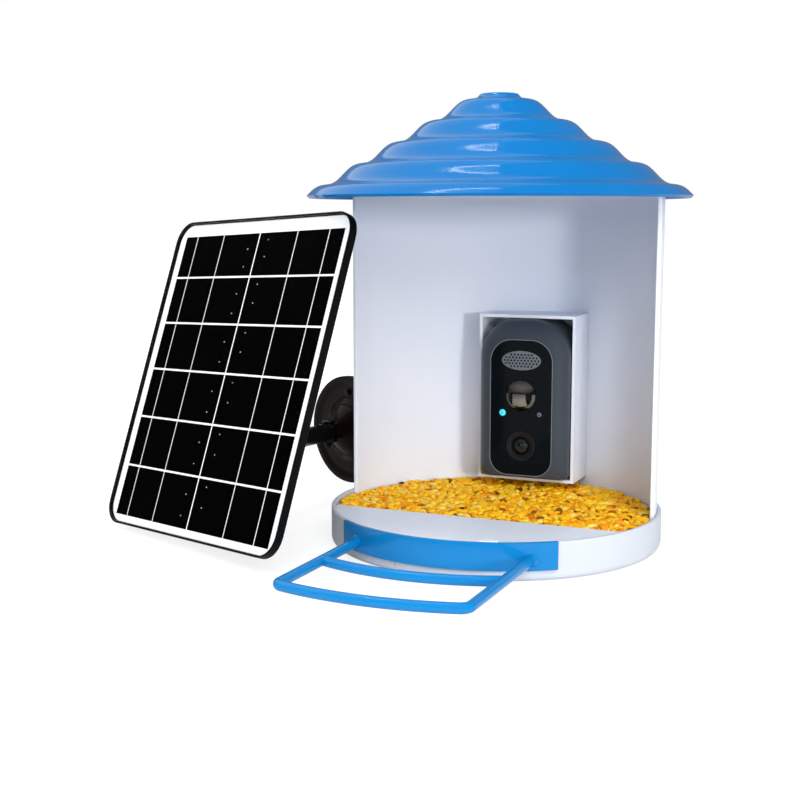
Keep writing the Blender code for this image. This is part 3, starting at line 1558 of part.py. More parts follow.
def build_panel():
    """The solar panel: frame, glass, cell sheet, back cover with its boss, junction box and gland."""
    frame = panel_frame()
    rim = prism("rim", panel_outline(0), ledge_back(), 0, frame)
    cut(
        rim,
        prism("rim_front", panel_outline(FRAME_WALL), ledge_front(), CUT_OVERRUN, frame),
        prism(
            "rim_hole", panel_outline(FRAME_WALL + FRAME_LEDGE), ledge_back() - CUT_OVERRUN, CUT_OVERRUN, frame
        ),
    )
    inside = panel_outline(FRAME_WALL + GAP)
    glass_back = -GLASS_RECESS - PANEL_GLASS_THICKNESS
    glass = prism("glass", inside, glass_back, -GLASS_RECESS, frame)
    sheet_front = glass_back - GAP
    sheet = prism("sheet", inside, sheet_front - CELL_SHEET_THICKNESS, sheet_front, frame)
    cover_front = ledge_back() - GAP
    cover = prism("cover", inside, cover_back(), cover_front, frame)
    boss_place = boss_frame()
    boss_root = PANEL_BOSS_HEIGHT + BACK_COVER_THICKNESS / 2
    boss = cylinder("panel_boss", PANEL_BOSS_RADIUS, -boss_root, 0, boss_place, MEDIUM_STEPS)
    depth = PANEL_BOSS_BORE_DEPTH
    bore = cylinder("panel_bore", PANEL_BOSS_BORE, -depth, CUT_OVERRUN, boss_place, MEDIUM_STEPS)
    join(cover, boss)
    cut(cover, bore)
    parts = []
    x = PANEL_WIDTH / 2 - PANEL_CORNER_RADIUS - PANEL_SCREW_INSET
    y = PANEL_HEIGHT / 2 - PANEL_SCREW_INSET
    length = BACK_COVER_THICKNESS + GAP + FRAME_LEDGE_THICKNESS / 2
    places = [(-x, -y), (x, -y), (-x, y), (x, y)]
    for i, (across, up) in enumerate(places):
        local = Matrix.Translation((across, up, cover_back())) @ Matrix.Rotation(math.pi, 4, "Y")
        seat = frame @ local
        cut(cover, screw_hole(seat, length, small=True))
        cut(rim, screw_hole(seat, length, small=True))
        parts.append(screw(f"panel_screw_{i + 1}", seat, length, small=True))
    parts += [
        finish(rim, "panel_frame", material("frame_black", BLACK, 0.35)),
        finish(glass, "panel_glass", material("panel_glass", PANEL_WHITE, 0.05)),
        finish(sheet, "solar_cell_sheet", material("solar_cells", CELL_BLUE, 0.2)),
        finish(cover, "panel_back_cover", material("cover_black", BLACK, 0.5)),
    ]
    parts += build_junction(frame)
    pivot("panel_roll_axis", boss_place, *parts)


def build_junction(frame):
    """The junction box on the panel's back, with the gland for the cable."""
    top = cover_back() - GAP
    bottom, rise = JUNCTION_RISE - JUNCTION_HEIGHT / 2, JUNCTION_RISE + JUNCTION_HEIGHT / 2
    corner = JUNCTION_ROUND
    outline = rounded_outline(JUNCTION_WIDTH / 2, bottom, rise, corner, corner, CORNER_STEPS // 2)
    junction = prism("junction", outline, top - JUNCTION_DEPTH, top, frame)
    place = frame @ facing((0, bottom, top - JUNCTION_DEPTH / 2), (0, -1, 0))
    gland = turned(
        "gland",
        [
            (0, GAP + GLAND_LENGTH - GLAND_BORE_DEPTH),
            (GLAND_BORE, GAP + GLAND_LENGTH - GLAND_BORE_DEPTH),
            (GLAND_BORE, GAP + GLAND_LENGTH),
            (GLAND_RADIUS - GLAND_BORE / 2, GAP + GLAND_LENGTH),
            (GLAND_RADIUS, GAP + GLAND_LENGTH / 2),
            (GLAND_RADIUS, GAP),
            (0, GAP),
        ],
        place,
        SMALL_STEPS,
    )
    return [
        finish(junction, "junction_box", material("cover_black", BLACK, 0.5)),
        finish(gland, "cable_gland", material("black_rubber", BLACK, 0.8)),
    ]


def main():
    prepare_scene()
    build_tray()
    build_deck()
    build_seeds()
    build_shell()
    build_roof()
    build_perch()
    build_pocket()
    build_camera()
    build_ear()
    build_flange()
    build_arm()
    build_knuckle()
    build_panel()


main()
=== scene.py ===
"""Smart bird feeder: the finishes, fine shapes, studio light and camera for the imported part.

Each sub-assembly is a class that holds its sizes in metres and builds and dresses its own pieces. The
finishes come first, then the mesh and node helpers, then the sub-assemblies in the order of assembly.
"""

import logging
import math
from dataclasses import dataclass
from enum import Enum
from typing import Callable, Iterable, Sequence

import bmesh
import bpy
from mathutils import Matrix, Vector


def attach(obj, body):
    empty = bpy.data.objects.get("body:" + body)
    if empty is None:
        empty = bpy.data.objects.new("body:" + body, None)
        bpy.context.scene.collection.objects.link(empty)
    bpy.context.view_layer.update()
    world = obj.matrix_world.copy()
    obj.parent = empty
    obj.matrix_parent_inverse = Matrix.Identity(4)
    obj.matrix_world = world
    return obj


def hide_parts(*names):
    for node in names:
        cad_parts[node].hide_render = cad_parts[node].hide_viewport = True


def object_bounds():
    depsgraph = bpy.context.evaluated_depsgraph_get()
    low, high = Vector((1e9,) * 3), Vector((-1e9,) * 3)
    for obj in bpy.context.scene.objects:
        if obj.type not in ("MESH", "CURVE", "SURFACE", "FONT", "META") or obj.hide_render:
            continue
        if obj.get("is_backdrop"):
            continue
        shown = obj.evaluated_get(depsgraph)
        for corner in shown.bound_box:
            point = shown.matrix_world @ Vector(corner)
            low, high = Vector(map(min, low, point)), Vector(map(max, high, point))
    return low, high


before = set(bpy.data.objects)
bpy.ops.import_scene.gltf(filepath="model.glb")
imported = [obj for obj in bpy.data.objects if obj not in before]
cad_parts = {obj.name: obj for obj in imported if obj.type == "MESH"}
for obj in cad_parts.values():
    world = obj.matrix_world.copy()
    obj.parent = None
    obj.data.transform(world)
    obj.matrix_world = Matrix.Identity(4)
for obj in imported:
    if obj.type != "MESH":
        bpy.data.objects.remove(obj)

log = logging.getLogger("bird_feeder")

MM = 0.001
UP = Vector((0, 0, 1))
TURN = 2 * math.pi
QUARTER = math.pi / 2
MERGE = 2e-6

Pair = tuple[float, float]
Triple = tuple[float, float, float]
Tree = bpy.types.NodeTree
Node = bpy.types.Node
Socket = bpy.types.NodeSocket
Object = bpy.types.Object
Mesh = bpy.types.Mesh
Vertex = bmesh.types.BMVert


class Body(Enum):
    """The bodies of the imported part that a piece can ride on."""

    FEEDER = "feeder"
    ROOF = "roof"
    CAMERA = "camera_unit"
    FLAP = "port_flap"
    BUTTON = "button"
    HUB = "hub"
    ARM = "arm"
    KNUCKLE = "knuckle"
    KNOB = "knob"
    PANEL = "panel"


# Nodes and colours


def linear(colour: str) -> tuple[float, float, float, float]:
    """Turns an sRGB hex colour into linear red, green, blue and an alpha of 1."""
    parts = [int(colour[i : i + 2], 16) / 255 for i in (1, 3, 5)]
    red, green, blue = [p / 12.92 if p <= 0.04045 else ((p + 0.055) / 1.055) ** 2.4 for p in parts]
    return red, green, blue, 1.0


def add_node(tree: Tree, kind: str, settings: dict | None = None, inputs: dict | None = None) -> Node:
    """Adds a node with its settings and links.

    Args:
        tree: The node tree.
        kind: The node's type name.
        settings: Values of the node's own properties.
        inputs: Socket names or indices, each with a value or with the output socket that feeds it.

    Returns:
        The new node.
    """
    made = tree.nodes.new(kind)
    for name, value in (settings or {}).items():
        setattr(made, name, value)
    for key, value in (inputs or {}).items():
        if isinstance(value, Socket):
            tree.links.new(value, made.inputs[key])
        else:
            made.inputs[key].default_value = value
    return made


# Finishes


@dataclass(frozen=True)
class Finish:
    """What every finish has.

    Attributes:
        name: The real material's common name and how its surface was made.
        slot: The record's material slot; not used.
        colour: The main colour as sRGB hex.
    """

    name: str
    slot: str
    colour: str

    def material(self) -> bpy.types.Material:
        """Makes the finish's material once and returns it."""
        found = bpy.data.materials.get(self.name)
        if found is not None:
            return found
        made = bpy.data.materials.new(self.name)
        made.use_nodes = True
        tree = made.node_tree
        tree.nodes.clear()
        shader = add_node(tree, "ShaderNodeBsdfPrincipled", inputs=self.paint(tree))
        add_node(tree, "ShaderNodeOutputMaterial", inputs={"Surface": shader.outputs[0]})
        made.diffuse_color = linear(self.colour)
        return made

    def paint(self, tree: Tree) -> dict:
        """Builds the patterns and returns the shader's inputs; each kind of finish has its own."""
        raise NotImplementedError

    def pattern(self, tree: Tree, size: float, detail: float = 2.0, stretch: Triple = (1, 1, 1)) -> Socket:
        """Adds a noise pattern on the object's own coordinates.

        Args:
            tree: The material's node tree.
            size: The pattern's real size in metres.
            detail: How many finer layers the noise has.
            stretch: The scale along each axis.

        Returns:
            The noise's factor.
        """
        place = add_node(tree, "ShaderNodeTexCoord").outputs["Object"]
        turned = add_node(tree, "ShaderNodeMapping", inputs={"Vector": place, "Scale": stretch})
        values = {"Vector": turned.outputs[0], "Scale": 1 / size, "Detail": detail}
        return add_node(tree, "ShaderNodeTexNoise", inputs=values).outputs[0]

    def spread(self, tree: Tree, noise: Socket, low: float, high: float) -> Socket:
        """Maps a noise's middle range on to a span of values."""
        values = {"Value": noise, "From Min": 0.3, "From Max": 0.7, "To Min": low, "To Max": high}
        return add_node(tree, "ShaderNodeMapRange", inputs=values).outputs[0]

    def tint(self, tree: Tree, source: Socket, first: str, second: str) -> Socket:
        """Mixes two colours by a factor."""
        values = {"Factor": source, "A": linear(first), "B": linear(second)}
        return add_node(tree, "ShaderNodeMix", {"data_type": "RGBA"}, values).outputs[2]

    def drift(self, tree: Tree, size: float, first: str, second: str) -> Socket:
        """A colour that drifts between two over a real size in metres."""
        return self.tint(tree, self.spread(tree, self.pattern(tree, size), 0, 1), first, second)

    def from_middle(self, tree: Tree, centre: Triple, radius: float) -> Socket:
        """The distance from a point as a share of a radius."""
        place = add_node(tree, "ShaderNodeTexCoord").outputs["Object"]
        away = add_node(tree, "ShaderNodeVectorMath", {"operation": "DISTANCE"}, {0: place, 1: centre})
        parts = {0: away.outputs["Value"], 1: radius}
        return add_node(tree, "ShaderNodeMath", {"operation": "DIVIDE"}, parts).outputs[0]


@dataclass(frozen=True)
class MouldedPlastic(Finish):
    """Injection-moulded plastic.

    Attributes:
        shade: The second colour, which the resin drifts to over a few centimetres.
        roughness: The middle roughness.
        peel_mm: The size of the mould's fine texture.
        peel_um: Its depth in micrometres.
        gleam: How much of the surroundings the face mirrors: 0.5 for bare plastic, less for a coated face.
    """

    shade: str
    roughness: float
    peel_mm: float
    peel_um: float
    gleam: float = 0.5

    def paint(self, tree: Tree) -> dict:
        """Fine mould relief, a colour that drifts and a roughness that wanders with wear."""
        peel = {"Height": self.pattern(tree, self.peel_mm * MM, 3.0), "Distance": self.peel_um * 1e-6}
        bump = add_node(tree, "ShaderNodeBump", inputs={**peel, "Strength": 0.6})
        scuff = self.pattern(tree, 9 * MM, 4.0)
        return {
            "Base Color": self.drift(tree, 45 * MM, self.colour, self.shade),
            "Roughness": self.spread(tree, scuff, self.roughness - 0.03, self.roughness + 0.04),
            "IOR": 1.5,
            "Specular IOR Level": self.gleam,
            "Normal": bump.outputs[0],
        }


@dataclass(frozen=True)
class PlatedSteel(Finish):
    """Plated or blackened steel with fine drawn marks.

    Attributes:
        cast: The colour that the finish drifts to.
        roughness: The middle roughness.
        mark_mm: The spacing of the marks.
    """

    cast: str = "#B9B3A6"
    roughness: float = 0.28
    mark_mm: float = 0.25

    def paint(self, tree: Tree) -> dict:
        """Drawn marks in the relief and the roughness, over a colour that drifts."""
        marks = self.pattern(tree, self.mark_mm * MM, 2.0, (1, 1, 0.15))
        bump = add_node(tree, "ShaderNodeBump", inputs={"Height": marks, "Strength": 0.4, "Distance": 4e-6})
        return {
            "Base Color": self.drift(tree, 2.5 * MM, self.colour, self.cast),
            "Metallic": 1.0,
            "Roughness": self.spread(tree, marks, self.roughness - 0.06, self.roughness + 0.1),
            "Normal": bump.outputs[0],
        }


@dataclass(frozen=True)
class SeedHusk(Finish):
    """Dry husks, each seed with a tone of its own from the "tone" attribute.

    Attributes:
        tones: The colours and their places on the scale: the two ends first, then those between.
        fleck_colour: The colour of the flecks on a husk.
    """

    tones: tuple[tuple[float, str], ...]
    fleck_colour: str = "#C9862E"

    def paint(self, tree: Tree) -> dict:
        """One tone a seed from the scale, with flecks on each husk."""
        tone = add_node(tree, "ShaderNodeAttribute", {"attribute_name": "tone"})
        ramp = add_node(tree, "ShaderNodeValToRGB", inputs={"Fac": tone.outputs["Fac"]})
        stops = ramp.color_ramp.elements
        for i, (place, colour) in enumerate(self.tones):
            stop = stops[i] if i < 2 else stops.new(place)
            stop.position = place
            stop.color = linear(colour)
        fleck = self.pattern(tree, 1.1 * MM, 3.0)
        bump = add_node(tree, "ShaderNodeBump", inputs={"Height": fleck, "Strength": 0.5, "Distance": 8e-5})
        parts = {
            "Factor": self.spread(tree, fleck, 0.0, 0.18),
            "A": ramp.outputs[0],
            "B": linear(self.fleck_colour),
        }
        mixed = add_node(tree, "ShaderNodeMix", {"data_type": "RGBA", "blend_type": "MULTIPLY"}, parts)
        return {
            "Base Color": mixed.outputs[2],
            "Roughness": 0.5,
            "IOR": 1.45,
            "Specular IOR Level": 0.12,
            "Normal": bump.outputs[0],
        }


@dataclass(frozen=True)
class ClearGlass(Finish):
    """Thin clear glass that lets what is behind it show.

    Attributes:
        alpha: How much the glass itself covers.
        ior: Low for an anti-reflection coating.
    """

    alpha: float
    ior: float

    def paint(self, tree: Tree) -> dict:
        """A faint, nearly clear film that lets the cells show."""
        return {
            "Base Color": linear(self.colour),
            "Roughness": self.spread(tree, self.pattern(tree, 30 * MM), 0.03, 0.07),
            "IOR": self.ior,
            "Specular IOR Level": 0.2,
            "Alpha": self.alpha,
        }


@dataclass(frozen=True)
class CoatedLens(Finish):
    """Dark optical glass with painted reflections of its coating: a faint green ring and a violet edge.

    Attributes:
        centre: The middle of the lens, in metres.
        radius: The lens radius.
        painted_highlight: The colour of the coating's reflection in the ring.
        dark: The colour of its middle.
    """

    centre: Triple
    radius: float
    painted_highlight: str = "#12301F"
    dark: str = "#050607"

    def paint(self, tree: Tree) -> dict:
        """A dark middle, then a faint ring and a tinted edge that are painted reflections, by the distance
        from the middle.
        """
        share = self.from_middle(tree, self.centre, self.radius)
        ramp = add_node(tree, "ShaderNodeValToRGB", inputs={"Fac": share})
        stops = ramp.color_ramp.elements
        stops[0].position, stops[0].color = 0.25, linear(self.dark)
        stops[1].position, stops[1].color = 1.0, linear(self.colour)
        stops.new(0.62).color = linear(self.painted_highlight)
        return {
            "Base Color": ramp.outputs[0],
            "Roughness": 0.03,
            "IOR": 1.5,
            "Specular IOR Level": 0.3,
            "Coat Weight": 0.2,
            "Coat Roughness": 0.02,
        }


@dataclass(frozen=True)
class LitPipe(Finish):
    """A clear light pipe with a lit diode behind it.

    Attributes:
        centre: The middle of the pipe's face, in metres.
        radius: The pipe's radius.
        strength: How strongly it shines.
        core: The colour over the diode itself.
    """

    centre: Triple
    radius: float
    strength: float
    core: str = "#1FA9BE"

    def paint(self, tree: Tree) -> dict:
        """Light that is whiter at its edge than over the diode."""
        lit = self.tint(tree, self.from_middle(tree, self.centre, self.radius), self.core, self.colour)
        return {
            "Base Color": lit,
            "Roughness": 0.25,
            "Emission Color": lit,
            "Emission Strength": self.strength,
        }


@dataclass(frozen=True)
class FacetedLens(Finish):
    """Milky polyethylene of a motion lens, with painted highlights on its facets from the "tone" attribute.
    """

    # bright: the colour of the painted highlights on the facets.
    bright: str

    def paint(self, tree: Tree) -> dict:
        """Facets between the dark colour and the painted highlight colour, with a milky roughness."""
        tone = add_node(tree, "ShaderNodeAttribute", {"attribute_name": "tone"})
        return {
            "Base Color": self.tint(tree, tone.outputs["Fac"], self.colour, self.bright),
            "Roughness": self.spread(tree, self.pattern(tree, 1.5 * MM), 0.22, 0.32),
            "IOR": 1.5,
            "Specular IOR Level": 0.1,
        }


@dataclass(frozen=True)
class SolarSilicon(Finish):
    """Monocrystalline silicon under its film: near black, with silver fingers too fine to see from afar.

    Attributes:
        finger: The colour of the fingers.
        finger_mm: The spacing of the fingers, drawn coarser than the real 1.5 mm so that they show close up.
    """

    finger: str = "#050506"
    finger_mm: float = 2.0

    def paint(self, tree: Tree) -> dict:
        """Fine upright fingers on a near-black face with uneven sheen."""
        place = add_node(tree, "ShaderNodeTexCoord").outputs["Object"]
        settings = {"wave_type": "BANDS", "bands_direction": "Z"}
        values = {"Vector": place, "Scale": 1 / (self.finger_mm * MM) / TURN * 2, "Distortion": 0.0}
        wave = add_node(tree, "ShaderNodeTexWave", settings, values)
        crest = {"From Min": 0.96, "From Max": 1.0, "To Min": 0.0, "To Max": 0.35}
        line = add_node(tree, "ShaderNodeMapRange", inputs={"Value": wave.outputs["Fac"], **crest})
        return {
            "Base Color": self.tint(tree, line.outputs[0], self.colour, self.finger),
            "Roughness": self.spread(tree, self.pattern(tree, 25 * MM), 0.28, 0.4),
            "Specular IOR Level": 0.004,
        }


@dataclass(frozen=True)
class CircuitBoard(Finish):
    """Glass-fibre board under green solder mask, with pale tracks."""

    track: str = "#2F9A5A"

    def paint(self, tree: Tree) -> dict:
        """Pale tracks that part the mask into fields."""
        place = add_node(tree, "ShaderNodeTexCoord").outputs["Object"]
        settings = {"feature": "DISTANCE_TO_EDGE", "distance": "EUCLIDEAN"}
        tracks = add_node(tree, "ShaderNodeTexVoronoi", settings, {"Vector": place, "Scale": 1 / (4 * MM)})
        edge = {"Value": tracks.outputs[0], "From Min": 0.03, "From Max": 0.06, "To Min": 1.0, "To Max": 0.0}
        line = add_node(tree, "ShaderNodeMapRange", inputs=edge)
        return {
            "Base Color": self.tint(tree, line.outputs[0], self.colour, self.track),
            "Roughness": 0.35,
            "IOR": 1.55,
        }


@dataclass(frozen=True)
class SoftRubber(Finish):
    """Silicone, synthetic rubber or packed seed: a dry, even surface.

    Attributes:
        shade: The colour of its dusty high spots.
        roughness: The roughness.
        gleam: How much of the surroundings the face mirrors.
    """

    shade: str
    roughness: float
    gleam: float = 0.3

    def paint(self, tree: Tree) -> dict:
        """A dry grain in the relief and a dusty drift of colour."""
        grain = self.pattern(tree, 0.5 * MM, 4.0)
        bump = add_node(tree, "ShaderNodeBump", inputs={"Height": grain, "Strength": 0.5, "Distance": 2e-5})
        return {
            "Base Color": self.drift(tree, 6 * MM, self.colour, self.shade),
            "Roughness": self.roughness,
            "Specular IOR Level": self.gleam,
            "Normal": bump.outputs[0],
        }


# White ABS, moulded and lightly polished: clean white with soft, blurred highlights.
WHITE_ABS = MouldedPlastic(
    "White ABS, moulded", "white_shell_plastic", "#EBF0FA", "#E8EEF8", 0.4, peel_mm=1.4, peel_um=7, gleam=0.25
)
# The tub's white ABS, painted a greyer white than the shell's as painted shade so that the front-lit tub
# renders less bright, with a spark-eroded texture: dull and even.
TUB_ABS = MouldedPlastic(
    "White ABS, spark-eroded", "white_shell_plastic", "#CACFD7", "#C6CCD4", 0.5,
    peel_mm=0.8, peel_um=9, gleam=0.25,
)
# Blue ABS, moulded in a polished tool: saturated, with thin clear highlights along the roof's tiers.
BLUE_ABS = MouldedPlastic(
    "Blue ABS, polished", "blue_plastic", "#0A69AC", "#0F6DAF", 0.11, peel_mm=14.0, peel_um=0.2, gleam=0.14
)
# Powder-coated steel: the same blue with a slight orange peel that breaks up its glints.
BLUE_POWDER = MouldedPlastic(
    "Blue powder coat on steel", "blue_plastic", "#0B78BA", "#0F7CBE", 0.14,
    peel_mm=2.4, peel_um=22, gleam=0.3,
)
# Slate ABS, moulded with a fine spark texture: a soft sheen that shows its rounded edges.
SLATE_ABS = MouldedPlastic(
    "Slate ABS, spark-eroded texture", "slate_plastic", "#3A414A", "#3E4650", 0.4,
    peel_mm=0.6, peel_um=10, gleam=0.35,
)
# Painted highlight along the casing's edge round the face: a pale grey line in place of the light on the lip.
PAINTED_EDGE_HIGHLIGHT = MouldedPlastic(
    "Grey ABS, satin edge", "slate_plastic", "#80868C", "#7A8086", 0.3, peel_mm=0.6, peel_um=4
)
# Acrylic with an anti-reflection coat, printed black from behind: a deep, clean black.
GLOSS_BLACK = MouldedPlastic(
    "Black acrylic, coated", "gloss_black", "#0B1013", "#0C1115", 0.08, peel_mm=12.0, peel_um=2, gleam=0.05
)
# Painted perforated sheet: mid grey with a faint metal sheen.
GREY_GRILLE = MouldedPlastic(
    "Grey paint on perforated sheet", "grey_grille", "#6E757B", "#666D73", 0.4,
    peel_mm=0.5, peel_um=4, gleam=0.4,
)
# Black glass-filled nylon: matt black that turns grey along lit edges.
BLACK_NYLON = MouldedPlastic(
    "Black nylon, glass-filled", "black_plastic", "#08090A", "#0B0C0D", 0.4,
    peel_mm=0.5, peel_um=8, gleam=0.08,
)
# Textured black nylon of the covers at the back: a shade greyer, so that ribs and edges show.
COVER_NYLON = MouldedPlastic(
    "Black nylon, textured cover", "black_plastic", "#15171A", "#1A1C1F", 0.5,
    peel_mm=0.5, peel_um=12, gleam=0.4,
)
# Dark ABS of the bracket, polished: brown-black, with a lighter warm brown that drifts in over a few
# centimetres as a painted reflection.
DARK_ABS = MouldedPlastic(
    "Dark brown ABS, polished", "bracket_plastic", "#0A0706", "#1C130F", 0.2,
    peel_mm=8.0, peel_um=8, gleam=0.08,
)
# Black ABS of the arm, polished: one clear highlight along its upper side.
BLACK_ABS = MouldedPlastic(
    "Black ABS, polished", "bracket_plastic", "#0B0B0A", "#0E0E0D", 0.22, peel_mm=6.0, peel_um=6, gleam=0.3
)
# Turned black ring: dark, with a soft rim of light on each step.
BLACK_RING = MouldedPlastic(
    "Black ABS, turned texture", "gloss_black", "#131518", "#181A1D", 0.3, peel_mm=0.4, peel_um=4, gleam=0.25
)
# Zinc-plated steel: bright grey with a warm cast in its fine marks.
STEEL = PlatedSteel("Zinc-plated steel", "steel", "#C3C5C7")
# Black-oxide steel on the bracket: dark, with a dull metallic glint.
DARK_STEEL = PlatedSteel("Black-oxide steel", "steel", "#1D1C1C", cast="#2A2725", roughness=0.34)
# Mixed millet and sunflower hearts: golden husks with some brown and some pale ones.
SEEDS = SeedHusk(
    "Mixed dry seed",
    "seed_mix",
    "#FFC01E",
    tones=(
        (0.0, "#4E3412"),
        (1.0, "#FFE06A"),
        (0.035, "#A8601A"),
        (0.08, "#F29612"),
        (0.38, "#FFC018"),
        (0.8, "#FFD228"),
    ),
)
# The mass of seed under the top layer, darker than the loose seed: painted shade in the gaps between the
# grains; dry and dull.
SEED_BASE_WITH_GAP_SHADE = SoftRubber("Packed dry seed", "seed_mix", "#C47808", "#A86206", 0.8, gleam=0.1)
# Low-iron tempered glass with an anti-reflection coat: hardly seen over the cells.
PANEL_GLASS = ClearGlass("Tempered solar glass, coated", "panel_glass", "#10151A", alpha=0.008, ior=1.25)
# White back sheet: clean white between the cells.
BACK_SHEET = MouldedPlastic(
    "White polymer back sheet", "solar_cells", "#F6F7F8", "#F2F4F5", 0.4, peel_mm=4.0, peel_um=3, gleam=0.3
)
# Monocrystalline silicon: near black.
SILICON = SolarSilicon("Monocrystalline silicon", "solar_cells", "#020202")
# Green solder mask over glass fibre: a deep green with paler tracks.
SOLDER_MASK = CircuitBoard("Circuit board, green solder mask", "board_green", "#0B4A2A")
# Shrink sleeve on the cells: glossy blue.
CELL_SLEEVE = MouldedPlastic(
    "Blue PVC shrink sleeve", "cell_wrap", "#1F4FA0", "#2458AC", 0.22, peel_mm=5.0, peel_um=12
)
# Black silicone of the seal and the cable gland: matt, slightly dusty.
BLACK_RUBBER = SoftRubber("Black silicone rubber", "black_rubber", "#111111", "#191919", 0.7)
# Grey silicone of the port's flap and the button: matt and pale enough to find.
GREY_RUBBER = SoftRubber("Grey silicone rubber", "grey_rubber", "#53575C", "#5D6166", 0.68)
# Smoked polyethylene over a dark sensor: black, with painted highlights on its facets.
MOTION_LENS = FacetedLens("Smoked polyethylene lens", "smoked_lens", "#0B0B0B", bright="#8C8A84")


# Meshes


def arc(centre: Pair, radius: float, start: float, end: float, steps: int) -> list[Pair]:
    """Points on an arc, from one angle to the other, both ends included."""
    angles = [start + (end - start) * i / steps for i in range(steps + 1)]
    return [(centre[0] + radius * math.cos(a), centre[1] + radius * math.sin(a)) for a in angles]


def circle(radius: float, steps: int) -> list[Pair]:
    """Points round a circle, each once."""
    return [(radius * math.cos(TURN * i / steps), radius * math.sin(TURN * i / steps)) for i in range(steps)]


def dome_radius(half_width: float, rise: float) -> float:
    """The radius of the circle or sphere whose cap has this half width and rise."""
    return (half_width**2 + rise**2) / (2 * rise)


def rounded_outline(
    half: float, bottom: float, top: float, low: float, high: float, steps: int
) -> list[Pair]:
    """A rectangle's outline with one radius on its lower corners and one on its upper corners.

    Args:
        half: Half the width.
        bottom: The lowest height.
        top: The highest height.
        low: The radius of the two lower corners.
        high: The radius of the two upper corners.
        steps: The steps of each corner.

    Returns:
        The outline's points, counter-clockwise.
    """
    low_x, high_x = half - low, half - high
    corners = ((low_x, bottom + low, low), (high_x, top - high, high), (-high_x, top - high, high))
    corners += ((-low_x, bottom + low, low),)
    made = []
    for i, (x, y, radius) in enumerate(corners):
        made += arc((x, y), radius, (i - 1) * QUARTER, i * QUARTER, steps)
    return made


def facing(origin: Sequence[float], normal: Sequence[float], up: Sequence[float] = (0, 0, 1)) -> Matrix:
    """A frame with this origin whose Z is the normal and whose Y is as near to up as it can be."""
    z = Vector(normal).normalized()
    x = Vector(up).cross(z).normalized()
    made = Matrix((x, z.cross(x).normalized(), z)).transposed().to_4x4()
    made.translation = Vector(origin)
    return made


def outward(angle: float, radius: float, height: float) -> Matrix:
    """A frame on the shell, its Z pointing out, at an angle turned from +Y towards -X."""
    normal = Vector((-math.sin(angle), math.cos(angle), 0))
    return facing(normal * radius + UP * height, normal)


